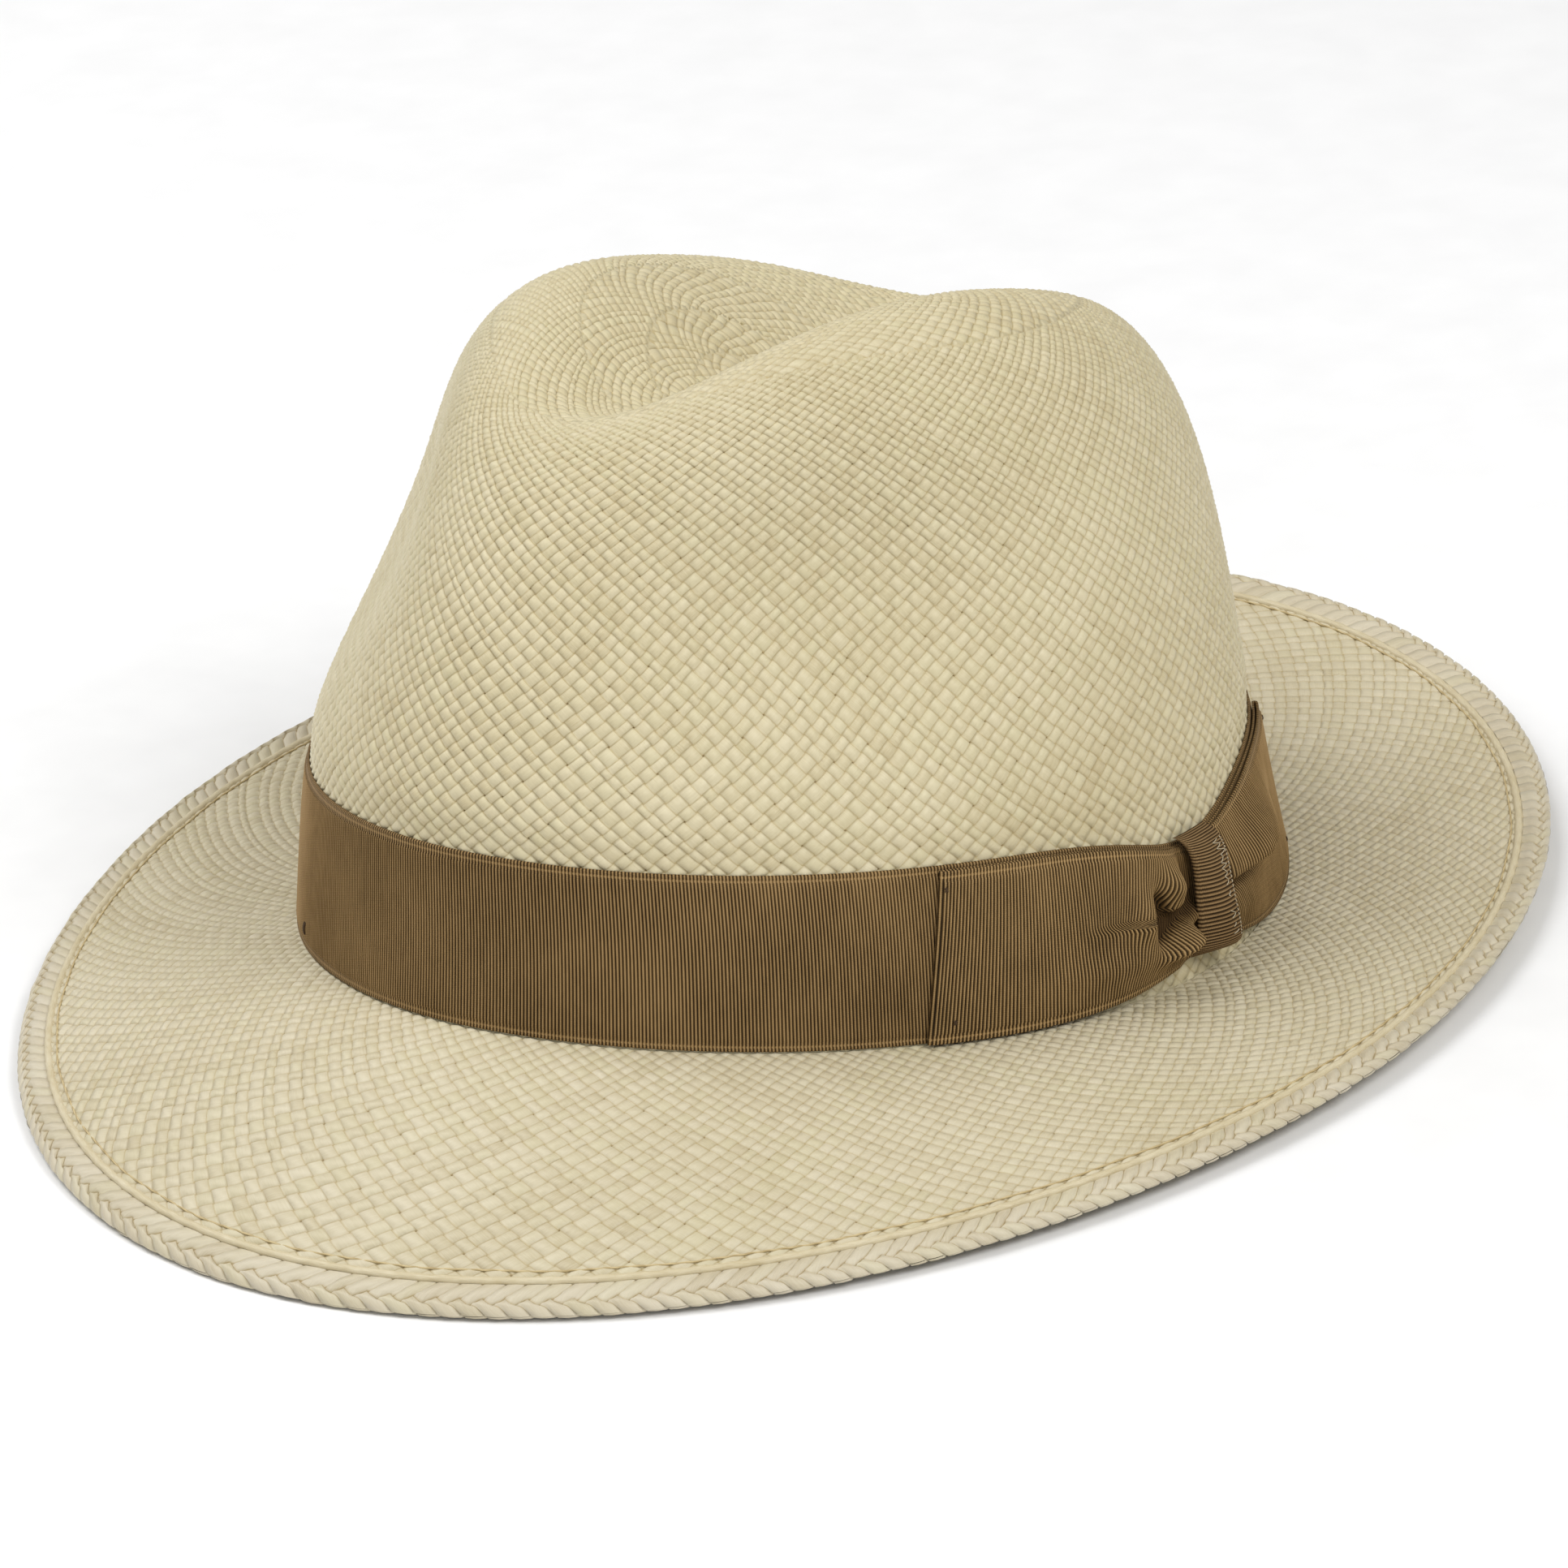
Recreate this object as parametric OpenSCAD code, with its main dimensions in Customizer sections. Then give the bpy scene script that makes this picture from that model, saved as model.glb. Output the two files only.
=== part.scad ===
// Creased straw hat with a wide ribbon, a flat side bow and a snapped brim.
// Millimetres, +Z up, front of the hat towards -Y, bow on +X (the wearer's left).
// The hat rests on a table on its front rim and on the back of its brim fold.

/* [Head opening] */
// half the outer length of the crown at the brim fold
half_length = 103.58; // [92:0.01:112]
// half the outer width of the crown at the brim fold
half_width = 88.57; // [78:0.01:98]
// how much wider the oval is behind the middle
egg = 0.063; // [0:0.001:0.12]
// superellipse power of the oval
oval_power = 1.9; // [1.8:0.01:2.4]
// rise of the fold at front and back against the sides
fold_saddle = 3.36; // [0:0.01:8]
// rise of the fold at the front against the back
fold_pitch = 6.0; // [0:0.1:10]

/* [Crown] */
// height of the uncreased block above the fold
crown_height = 117.1; // [95:0.1:135]
// slope of the top, up towards the front
crown_pitch = 0.0763; // [0:0.0001:0.15]
// slope of the top, up towards the bow side
crown_lean = 0.036; // [0:0.001:0.08]
// squareness of the shoulder
shoulder_power = 4.07; // [2.4:0.01:5.5]
// narrowing from fold to top
taper = 0.1; // [0:0.001:0.2]
// extra narrowing half-way up the back
rear_taper = 0.0624; // [0:0.0001:0.15]
// backward shift of the top
crown_shift = 2.96; // [-6:0.01:8]
// thickness of the woven straw
straw = 1.2; // [0.8:0.1:2]

/* [Crease and pinches] */
// depth of the centre crease
crease_depth = 21.1; // [10:0.1:35]
// how much deeper the crease is per 100 mm towards the back
crease_deepen = 11.6; // [0:0.1:20]
// half width of the crease
crease_width = 22.8; // [12:0.1:40]
// widening of the crease per 100 mm towards the back
crease_flare = 3.5; // [0:0.1:10]
// squareness of the crease section
crease_power = 1.91; // [1.5:0.01:3]
// where the crease starts at the front and how softly
crease_front = [-65.7, 25.2];
// where the crease ends at the back and how softly
crease_back = [71.1, 22.6];
// height gained by each ridge beside the crease
ridge_gain = 4.75; // [0:0.01:10]
// place of the ridge crest, sideways and lengthways
ridge_place = [41, -9.6];
// centre of each front pinch
pinch_place = [60, -55.2, 79.3];
// inward and backward push of a pinch
pinch_push = [10.5, 11.2];
// reach of a pinch
pinch_reach = [47.3, 43, 37.5];
// lean of a pinch
pinch_turn = 9.8; // [-30:0.1:30]
// backward push of the upper front
front_dent = 7; // [0:0.1:12]
// forward bulge just above the ribbon
front_bulge = 2.7; // [0:0.1:6]

/* [Brim] */
// brim width at front, sides and back
brim_front = 56.9; // [45:0.1:75]
brim_side = 47.7; // [40:0.1:75]
brim_back = 54.8; // [45:0.1:75]
// slope of the plane that the rim lies in, down towards the front
rim_slope = 0.0874; // [0:0.0001:0.2]
// height of the rim plane under the fold at mid length
rim_drop = 6.0; // [0:0.1:15]
// how late the brim curls, 1 is a straight slope
curl_power = 1.35; // [1:0.01:2]
// width of the back-woven border at the rim
border_width = 4.7; // [4:0.1:16]
// thickness of that double border
border_thick = 2.2; // [1.5:0.1:3]
// radius of the twisted ridge inside the border
ridge_r = 0.75; // [0.5:0.05:1.6]
// radius of the thread that lies along the ridge
thread_r = 0.2; // [0.15:0.05:0.6]

/* [Ribbon and bow] */
// height of the grosgrain ribbon
band_height = 33; // [25:0.5:42]
// thickness of the ribbon
ribbon = 0.6; // [0.4:0.1:1]
// free end of the front wing, knot and free end of the rear wing, degrees from the front
wing_start = 59.5; // [50:0.5:70]
knot_angle = 96.5; // [85:0.5:105]
wing_end = 131; // [120:0.5:140]
// width of the knot wrap
knot_width = 11.5; // [8:0.5:22]
// height of the knot's lower and upper ends over the fold
knot_span = [4.8, 28.2];
// how far the knot gathers the ribbon's lower and upper edges
gather_low = 5.0; // [0:0.1:8]
gather_high = 6.4; // [0:0.1:8]
// how far the wings stand out beside the knot
wing_puff = 2.9; // [2:0.1:7]

/* [Sweatband] */
// height of the sweatband inside the crown
sweat_height = 31; // [24:0.5:38]
// thickness of the sweatband
sweat_thick = 1.0; // [0.6:0.1:1.6]
// radius of the reed in its lower edge
reed_r = 1.0; // [0.7:0.05:1.5]

/* [Resting pose] */
// backward tilt of the head opening when the hat stands on a table
seat_tilt = 3.75; // [0:0.01:8]
// lift that brings the lowest point to the table
seat_lift = 10.59; // [0:0.01:20]
// shift that centres the outline over the origin
seat_shift = 1.45; // [-5:0.01:5]

/* [Hidden] */
gap = 0.3;
columns = 72;
step = 360 / columns;
crown_rows = 29;
nip = ribbon + gap;
clearance = gap / 2;

// ---- helpers ----
function spow(v, p) = (v < 0 ? -1 : 1) * pow(abs(v), p);
function smooth(t) = let (c = min(max(t, 0), 1)) c * c * (3 - 2 * c);
function soft(t) = 1 / (1 + exp(-t));
function bell(t) = exp(-t * t);
function unit(v) = v / norm(v);

// ---- head oval and the fold between crown and brim ----
function oval(a) = [half_width * spow(sin(a), 2 / oval_power) * (1 - egg * cos(a)),
                    -half_length * spow(cos(a), 2 / oval_power)];
function oval_out(a) = let (d = unit(oval(a + 0.5) - oval(a - 0.5))) [d.y, -d.x];
function fold_z(a) = fold_saddle * cos(2 * a) + fold_pitch * cos(a);

// ---- crown surface: zn runs 0 to 1 up the block, kn 1 to 0 towards its axis ----
function crease(x, y) =
    soft(3 * (y - crease_front[0]) / crease_front[1])
    * soft(3 * (crease_back[0] - y) / crease_back[1])
    * exp(-pow(abs(x) / (crease_width + crease_flare * y / 100), crease_power));
function pinch(x, y, z, side) =
    let (u = y - pinch_place.y, v = z - pinch_place.z,
         yl = u * cos(pinch_turn) + v * sin(pinch_turn),
         zl = v * cos(pinch_turn) - u * sin(pinch_turn))
    bell((x - side * pinch_place.x) / pinch_reach.x)
    * bell(yl / pinch_reach.y) * bell(zl / pinch_reach.z);
function block_top(x, y) = crown_height * (1 - crown_pitch * y / 100 + crown_lean * x / 50);
function crown_point(zn, kn, a) =
    let (o = oval(a), out = oval_out(a), base = fold_z(a),
         k = kn * (1 - taper * zn
                   - rear_taper * 4 * zn * (1 - zn) * pow((1 - cos(a)) / 2, 2)),
         x = o.x * k, y = o.y * k + crown_shift * zn,
         z = base + (block_top(x, y) - base) * zn,
         hug = nip * (1 - smooth((z - base - band_height) / 8)),
         ridges = ridge_gain * pow(zn, 3) * bell((y - ridge_place.y) / 40)
                  * (bell((x - ridge_place.x) / 22) + bell((x + ridge_place.x) / 22)),
         drop = (crease_depth + crease_deepen * y / 100) * pow(zn, 4) * crease(x, y),
         on = smooth(zn / 0.75),
         pl = pinch(x, y, z, 1) * on, pr = pinch(x, y, z, -1) * on,
         dent = front_dent * bell((y + 95) / 40) * bell((z / crown_height - 0.9275) / 0.3),
         bulge = front_bulge * smooth(2 * zn) * bell((y + 80) / 45) * bell((z - 42) / 18.1))
    [x - pinch_push[0] * (pl - pr) - hug * out.x,
     y + pinch_push[1] * (pl + pr) + dent - bulge - hug * out.y,
     z + ridges - drop];
function rise(t) = 90 * t * t * (3 - 2 * t);
function crown_at(t, a) = let (p = min(max(rise(t), 0), 90), e = 2 / shoulder_power)
    crown_point(pow(sin(p), e), pow(cos(p), e), a);
function crown_out(t, a) =
    let (d = 0.004, along = crown_at(t, a + 0.7) - crown_at(t, a - 0.7),
         up = crown_at(t + d, a) - crown_at(max(t - d, 0), a))
    unit(cross(along, up));

// ---- wall of the crown at a height h above the fold, pushed out by off ----
function wall(a, h, off) =
    let (base = fold_z(a),
         zn = h / (block_top(oval(a).x, oval(a).y) - base),
         kn = pow(1 - pow(max(zn, 0), shoulder_power), 1 / shoulder_power),
         p = crown_point(max(zn, 0), kn, a), out = oval_out(a))
    [p.x + out.x * off, p.y + out.y * off, base + h];

// ---- brim surface: w is the distance from the crown wall, mid-thickness height ----
function brim_w(a) = brim_side + (brim_front + brim_back - 2 * brim_side) / 4 * (1 + cos(2 * a))
    + (brim_front - brim_back) / 2 * cos(a);
function rim_z(a) = rim_slope * (oval(a).y + oval_out(a).y * brim_w(a)) - rim_drop;
function brim_at(a, w) =
    let (o = oval(a), out = oval_out(a), f = max(w + nip, 0) / (brim_w(a) + nip),
         base = fold_z(a) - straw / 2)
    [o.x + out.x * w, o.y + out.y * w, base + (rim_z(a) - base) * pow(f, curl_power)];

// ---- solids from grids of points ----
// closed ring: rows of points round the hat, each row one closed section
module ring(rows) {
    n = len(rows); m = len(rows[0]);
    pts = [for (r = rows) for (p = r) p];
    polyhedron(pts, [for (i = [0:n - 1]) for (j = [0:m - 1])
        let (a = i * m + j, b = i * m + (j + 1) % m,
             c = ((i + 1) % n) * m + (j + 1) % m, d = ((i + 1) % n) * m + j)
        each [[a, b, c], [a, c, d]]], convexity = 8);
}
// open strip: matching outer and inner grids, closed along all four edges
module patch(outer, inner) {
    n = len(outer); m = len(outer[0]); s = n * m;
    pts = concat([for (r = outer) for (p = r) p], [for (r = inner) for (p = r) p]);
    q = function (a, b, c, d) [[a, b, c], [a, c, d]];
    polyhedron(pts, concat(
        [for (i = [0:n - 2]) for (j = [0:m - 2]) let (a = i * m + j)
            each q(a, a + 1, a + m + 1, a + m)],
        [for (i = [0:n - 2]) for (j = [0:m - 2]) let (a = s + i * m + j)
            each q(a, a + m, a + m + 1, a + 1)],
        [for (i = [0:n - 2]) let (a = i * m) each q(a, a + m, s + a + m, s + a)],
        [for (i = [0:n - 2]) let (a = i * m + m - 1) each q(a, s + a, s + a + m, a + m)],
        [for (j = [0:m - 2]) each q(j, s + j, s + j + 1, j + 1)],
        [for (j = [0:m - 2]) let (a = (n - 1) * m + j) each q(a, a + 1, s + a + 1, s + a)]
    ), convexity = 8);
}
// thread ring: small round section carried round a closed path
module cord(path, r, sides) {
    n = len(path);
    ring([for (i = [0:n - 1])
        let (t = unit(path[(i + 1) % n] - path[(i + n - 1) % n]),
             s = unit(cross(t, [0, 0, 1])), u = cross(s, t))
        [for (k = [0:sides - 1]) let (b = 360 * k / sides)
            path[i] + r * (cos(b) * s + sin(b) * u)]]);
}
// one stitch of thread between two points
module stitch(p, q, r) {
    d = q - p;
    translate(p) rotate([0, acos(d.z / norm(d)), atan2(d.y, d.x)])
        cylinder(h = norm(d), r = r, $fn = 16);
}
module seat() translate([0, seat_shift, seat_lift]) rotate([-seat_tilt, 0, 0]) children();

// ---- straw body ----
module straw_crown() color([0.86, 0.79, 0.63]) seat() {
    m = columns; n = crown_rows;
    t = function (i) 0.965 * i / (n - 1);
    foot = [for (j = [0:m - 1]) wall(j * step, 0, 0) - [0, 0, straw]];
    outer = [for (i = [0:n - 1]) for (j = [0:m - 1]) crown_at(t(i), j * step)];
    inner = [for (i = [0:n - 1]) for (j = [0:m - 1])
        crown_at(t(i), j * step) - straw * (i == 0
            ? concat(oval_out(j * step), [0]) : crown_out(t(i), j * step))];
    foot_in = [for (j = [0:m - 1])
        foot[j] - straw * concat(oval_out(j * step), [0])];
    top = crown_at(1, 0);
    pts = concat(foot, outer, [top], foot_in, inner, [top - [0, 0, straw]]);
    s = (n + 1) * m + 1;
    polyhedron(pts, concat(
        [for (i = [0:n - 1]) for (j = [0:m - 1])
            let (a = i * m + j, b = i * m + (j + 1) % m)
            each [[a, a + m, b + m], [a, b + m, b]]],
        [for (j = [0:m - 1]) [n * m + j, s - 1, n * m + (j + 1) % m]],
        [for (i = [0:n - 1]) for (j = [0:m - 1])
            let (a = s + i * m + j, b = s + i * m + (j + 1) % m)
            each [[a, b + m, a + m], [a, b, b + m]]],
        [for (j = [0:m - 1]) [s + n * m + j, s + n * m + (j + 1) % m, 2 * s - 1]],
        [for (j = [0:m - 1]) let (b = (j + 1) % m)
            each [[j, b, s + b], [j, s + b, s + j]]]
    ), convexity = 10);
}
module brim_strip(from, to, thick, cuts) {
    ring([for (i = [0:columns - 1])
        let (a = i * step, w0 = from < 0 ? -from - nip : brim_w(a) - from, w1 = brim_w(a) - to)
        concat([for (j = [0:cuts]) brim_at(a, w0 + (w1 - w0) * j / cuts) - [0, 0, thick / 2]],
               [for (j = [cuts:-1:0]) brim_at(a, w0 + (w1 - w0) * j / cuts) + [0, 0, thick / 2]])]);
}
module straw_brim() color([0.85, 0.78, 0.62]) seat()
    brim_strip(-gap, border_width + 2 * ridge_r + 2 * gap, straw, 7);
module brim_border() color([0.83, 0.76, 0.6]) seat() brim_strip(border_width, 0, border_thick, 2);
module brim_ridge() color([0.8, 0.72, 0.55]) seat()
    cord([for (i = [0:columns - 1])
        brim_at(i * step, brim_w(i * step) - border_width - ridge_r - gap)], ridge_r, 8);
module ridge_thread() color([0.5, 0.38, 0.22]) seat()
    cord([for (i = [0:columns - 1])
        brim_at(i * step, brim_w(i * step) - border_width - 2 * ridge_r - 3 * gap - thread_r)
            + [0, 0, straw / 2 + thread_r + clearance]], thread_r, 4);

// ---- ribbon and bow ----
module sleeve(h0, h1, off0, off1, cuts) {
    ring([for (i = [0:columns - 1]) let (a = i * step)
        concat([for (j = [0:cuts]) wall(a, h0 + (h1 - h0) * j / cuts, off0)],
               [for (j = [cuts:-1:0]) wall(a, h0 + (h1 - h0) * j / cuts, off1)])]);
}
// the knot's wrap pulls the ribbon narrower around it
function band_low(a) = gap + gather_low * bell((a - knot_angle) / 13);
function band_high(a) = band_height - gather_high * bell((a - knot_angle) / 14);
module hat_band() color([0.42, 0.33, 0.2]) seat()
    ring([for (i = [0:columns - 1]) let (a = i * step, h0 = band_low(a), h1 = band_high(a))
        concat([for (j = [0:2]) wall(a, h0 + (h1 - h0) * j / 2, gap + ribbon)],
               [for (j = [2:-1:0]) wall(a, h0 + (h1 - h0) * j / 2, gap)])]);
module band_tack() color([0.36, 0.28, 0.17]) seat()
    stitch(wall(-35, 3.2, nip + 0.35), wall(-35, 5.4, nip + 0.35), 0.25);

// height of a wing at angle a, and its thickness, f runs 0 at its free end to 1 at the knot
function wing_low(a) = band_low(a) + 0.5;
function wing_high(a) = band_high(a) - 0.5;
function wing_out(f, v) = 1.3 + wing_puff * pow(f, 2.2) * pow(sin(18 + 144 * v), 0.6)
    - 1.2 * pow(f, 4) * bell((v - 0.55) / 0.16);
module wing(free, knot, slant) {
    n = 14; m = 8; back = nip + gap;
    at = function (i, j, off) let (f = i / n, v = j / m, a = free + (knot - free) * f)
        wall(a + slant * (v - 0.5) * (1 - f),
             wing_low(a) + (wing_high(a) - wing_low(a)) * v, off);
    outer = [for (i = [0:n]) [for (j = [0:m]) at(i, j, back + wing_out(i / n, j / m))]];
    inner = [for (i = [0:n]) [for (j = [0:m]) at(i, j, back)]];
    if (knot > free) patch(outer, inner); else patch(inner, outer);
}
half_knot = knot_width / 2 / 1.55;
function knot_out(v) = 1.9 + 2.9 * pow(sin(8 + 164 * v), 0.6);
module bow_front_wing() color([0.4, 0.31, 0.19]) seat()
    wing(wing_start, knot_angle - half_knot - 0.2, 2.6);
module bow_rear_wing() color([0.38, 0.3, 0.18]) seat()
    wing(wing_end, knot_angle + half_knot + 0.2, -2.6);
module bow_knot() color([0.41, 0.32, 0.2]) seat() {
    n = 8; m = 8; back = nip + gap;
    at = function (i, j, lift) let (f = i / n, v = j / m)
        wall(knot_angle + half_knot * (2 * f - 1), knot_span[0] + (knot_span[1] - knot_span[0]) * v,
             back + lift * (knot_out(v) + 0.9 * sin(180 * f)));
    patch([for (i = [0:n]) [for (j = [0:m]) at(i, j, 1)]],
          [for (i = [0:n]) [for (j = [0:m]) at(i, j, 0)]]);
}
module wing_tacks() color([0.5, 0.4, 0.27]) seat()
    for (a = [wing_start + 1.6, wing_end - 1.6]) for (v = [0.14, 0.86])
        let (h = 1 + (band_height - 2) * v, off = nip + gap + 1.3 + 0.42)
        stitch(wall(a, h, off), wall(a, h + 2, off), 0.25);
module knot_stitches() color([0.55, 0.44, 0.3]) seat() {
    turns = 6; low = 8.5; pitch = 2.9;
    edge = knot_angle + half_knot * 0.55;
    for (k = [0:turns - 1])
        let (h = low + pitch * k,
             lift = function (z) nip + gap + 1.55
                 + knot_out((z - knot_span[0]) / (knot_span[1] - knot_span[0])),
             p = wall(edge - 0.7, h, lift(h)), q = wall(edge + 0.7, h + pitch - 0.7, lift(h)))
        stitch(p, q, 0.25);
}

// ---- sweatband ----
sweat_off = -(straw + gap);
module sweatband() color([0.45, 0.3, 0.17]) seat()
    sleeve(2 * reed_r + 2 * gap, sweat_height, sweat_off, sweat_off - sweat_thick, 3);
module sweatband_reed() color([0.42, 0.28, 0.16]) seat()
    cord([for (i = [0:columns - 1])
        wall(i * step, reed_r + gap, sweat_off - reed_r)], reed_r, 6);
module sweatband_stitching() color([0.85, 0.8, 0.68]) seat()
    cord([for (i = [0:columns - 1])
        wall(i * step, 5.5, sweat_off - sweat_thick - 0.25 - clearance)], 0.25, 4);
module sweatband_bow() color([0.3, 0.22, 0.14]) seat() {
    n = 6; m = 3; back = sweat_off - sweat_thick - 2 * clearance;
    loop = function (side) [for (lift = [0, 1]) [for (i = [0:n]) [for (j = [0:m])
        let (f = i / n, v = j / m - 0.5)
        wall(180 + side * (1.1 + 7.5 * f), 10 + v * (3.2 + 6 * sin(90 * f)) + 1.5 * f,
             back - lift * (0.8 + 1.4 * sin(180 * f)))]]];
    l = loop(1); r = loop(-1);
    patch(l[0], l[1]);
    patch(r[1], r[0]);
    c = [for (lift = [0, 1]) [for (i = [0:2]) [for (j = [0:2])
        wall(180 + 0.95 * (i - 1), 10 + 2.2 * (j - 1), back - lift * 2.2)]]];
    patch(c[0], c[1]);
}

straw_crown();
straw_brim();
brim_border();
brim_ridge();
ridge_thread();
hat_band();
band_tack();
bow_front_wing();
bow_rear_wing();
bow_knot();
wing_tacks();
knot_stitches();
sweatband();
sweatband_reed();
sweatband_stitching();
sweatband_bow();
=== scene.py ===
import math
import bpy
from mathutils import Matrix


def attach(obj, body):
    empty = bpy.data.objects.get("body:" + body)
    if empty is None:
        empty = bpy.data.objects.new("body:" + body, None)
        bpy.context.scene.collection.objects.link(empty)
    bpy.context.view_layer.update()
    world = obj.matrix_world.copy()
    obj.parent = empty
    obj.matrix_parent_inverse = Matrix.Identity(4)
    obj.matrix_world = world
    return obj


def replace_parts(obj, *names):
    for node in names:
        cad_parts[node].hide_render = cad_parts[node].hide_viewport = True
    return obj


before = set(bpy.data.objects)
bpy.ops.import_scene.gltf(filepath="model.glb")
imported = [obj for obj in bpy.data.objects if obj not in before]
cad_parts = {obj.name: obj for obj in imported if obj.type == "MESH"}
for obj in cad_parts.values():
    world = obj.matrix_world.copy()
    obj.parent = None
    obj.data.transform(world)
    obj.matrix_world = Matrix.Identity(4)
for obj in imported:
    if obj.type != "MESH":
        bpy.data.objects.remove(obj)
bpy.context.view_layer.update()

from types import SimpleNamespace

import bpy
import numpy as np
from mathutils import Matrix

TAU = 2 * math.pi
rad = math.radians

# ---------------------------------------------------------------- the hat's shape, in mm
# The same numbers and formulas as the CAD source, in the head's own frame.
# The fold between crown and brim: half length, half width, egg shape, power of the oval,
# and its rise at both ends and at the front.
HALF_L, HALF_W, EGG, OVAL_P = 103.58, 88.57, 0.063, 1.9
SADDLE, PITCH = 3.36, 6.0
# The uncreased block: height, slopes of its top, squareness of its shoulder, how it narrows
# and leans back, and the straw's thickness.
CROWN_H, CROWN_PITCH, CROWN_LEAN, SHOULDER = 117.1, 0.0763, 0.036, 4.07
TAPER, REAR_TAPER, CROWN_SHIFT, STRAW = 0.1, 0.0624, 2.96, 1.2
# The centre crease: depth, half width and how both grow per 100 mm towards the back, the
# squareness of its section, then where each end lies and how softly it ends.
CREASE_DEPTH, CREASE_DEEPEN, CREASE_WIDTH, CREASE_FLARE, CREASE_POWER = 21.1, 11.6, 22.8, 3.5, 1.91
(FRONT_END, FRONT_SOFT), (BACK_END, BACK_SOFT) = (-65.7, 25.2), (71.1, 22.6)
# The ridges beside the crease: height and place, then their width and length.
RIDGE_GAIN, RIDGE_X, RIDGE_Y = 4.75, 41, -9.6
RIDGE_WIDE, RIDGE_LONG = 22, 40
# The two front pinches: place, push, reach and lean.
PINCH_X, PINCH_Y, PINCH_Z = 60, -55.2, 79.3
PINCH_IN, PINCH_BACK, PINCH_TURN = 10.5, 11.2, 9.8
REACH_X, REACH_Y, REACH_Z = 47.3, 43, 37.5
# The upper front is pushed back, and it bulges just above the ribbon.
FRONT_DENT, FRONT_BULGE = 7, 2.7
# The brim: width at front, sides and back, the plane of its rim, and how late it curls.
BRIM_F, BRIM_S, BRIM_B = 56.9, 47.7, 54.8
RIM_SLOPE, RIM_DROP, CURL = 0.0874, 6.0, 1.35
BORDER_W, BORDER_T, TWIST_R, THREAD_R = 4.7, 2.2, 0.75, 0.2
# The ribbon and bow: angles are degrees from the front, heights are over the fold.
BAND_H, RIBBON, GAP = 33.0, 0.6, 0.3
WING_START, KNOT, WING_END, KNOT_W = 59.5, 96.5, 131.0, 11.5
KNOT_LOW, KNOT_HIGH, GATHER_LOW, GATHER_HIGH = 4.8, 28.2, 5.0, 6.4
SWEAT_H, SWEAT_T, REED_R = 31.0, 1.0, 1.0
# How the hat stands on the table.
SEAT_TILT, SEAT_LIFT, SEAT_SHIFT = 3.75, 10.59, 1.45
NIP = RIBBON + GAP                # the straw is drawn in under the ribbon by this much
HALF_KNOT = KNOT_W / 2 / 1.55     # degrees


def spow(v, p):
    return np.sign(v) * np.abs(v) ** p


def smooth(t):
    c = np.clip(t, 0, 1)
    return c * c * (3 - 2 * c)


def soft(t):
    return 1 / (1 + np.exp(-t))


def bell(t):
    return np.exp(-t * t)


def oval(a):
    """The crown's outline at the fold. Angles run from the front towards the bow."""
    return (HALF_W * spow(np.sin(a), 2 / OVAL_P) * (1 - EGG * np.cos(a)),
            -HALF_L * spow(np.cos(a), 2 / OVAL_P))


def oval_out(a):
    """The oval's outward direction."""
    step = 0.0087
    x1, y1 = oval(a + step)
    x0, y0 = oval(a - step)
    dx, dy = x1 - x0, y1 - y0
    n = np.hypot(dx, dy)
    return dy / n, -dx / n


def fold_z(a):
    return SADDLE * np.cos(2 * a) + PITCH * np.cos(a)


def block_top(x, y):
    return CROWN_H * (1 - CROWN_PITCH * y / 100 + CROWN_LEAN * x / 50)


def crown_point(zn, kn, a):
    """A point of the crown: zn is its share of the block's height, kn its share of the oval."""
    ox, oy = oval(a)
    nx, ny = oval_out(a)
    base = fold_z(a)
    k = kn * (1 - TAPER * zn - REAR_TAPER * 4 * zn * (1 - zn) * ((1 - np.cos(a)) / 2) ** 2)
    x, y = ox * k, oy * k + CROWN_SHIFT * zn
    z = base + (block_top(x, y) - base) * zn
    hug = NIP * (1 - smooth((z - base - BAND_H) / 8))
    beside = bell((x - RIDGE_X) / RIDGE_WIDE) + bell((x + RIDGE_X) / RIDGE_WIDE)
    ridges = RIDGE_GAIN * zn ** 3 * bell((y - RIDGE_Y) / RIDGE_LONG) * beside
    crease = (soft(3 * (y - FRONT_END) / FRONT_SOFT) * soft(3 * (BACK_END - y) / BACK_SOFT)
              * np.exp(-np.abs(x / (CREASE_WIDTH + CREASE_FLARE * y / 100)) ** CREASE_POWER))
    drop = (CREASE_DEPTH + CREASE_DEEPEN * y / 100) * zn ** 4 * crease
    on = smooth(zn / 0.75)
    ct, st = math.cos(rad(PINCH_TURN)), math.sin(rad(PINCH_TURN))
    u, v = y - PINCH_Y, z - PINCH_Z
    side = bell((u * ct + v * st) / REACH_Y) * bell((v * ct - u * st) / REACH_Z) * on
    left, right = bell((x - PINCH_X) / REACH_X) * side, bell((x + PINCH_X) / REACH_X) * side
    dent = FRONT_DENT * bell((y + 95) / 40) * bell((z / CROWN_H - 0.9275) / 0.3)
    bulge = FRONT_BULGE * smooth(2 * zn) * bell((y + 80) / 45) * bell((z - 42) / 18.1)
    return np.stack([x - PINCH_IN * (left - right) - hug * nx,
                     y + PINCH_BACK * (left + right) + dent - bulge - hug * ny,
                     z + ridges - drop], -1)


def crown_at(t, a):
    """A point of the crown, t from the fold (0) to the middle of the top (1)."""
    t = np.clip(t, 0, 1)
    p = np.clip(math.pi / 2 * t * t * (3 - 2 * t), 0, math.pi / 2)
    e = 2 / SHOULDER
    return crown_point(np.sin(p) ** e, np.maximum(np.cos(p), 0) ** e, a)


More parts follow.
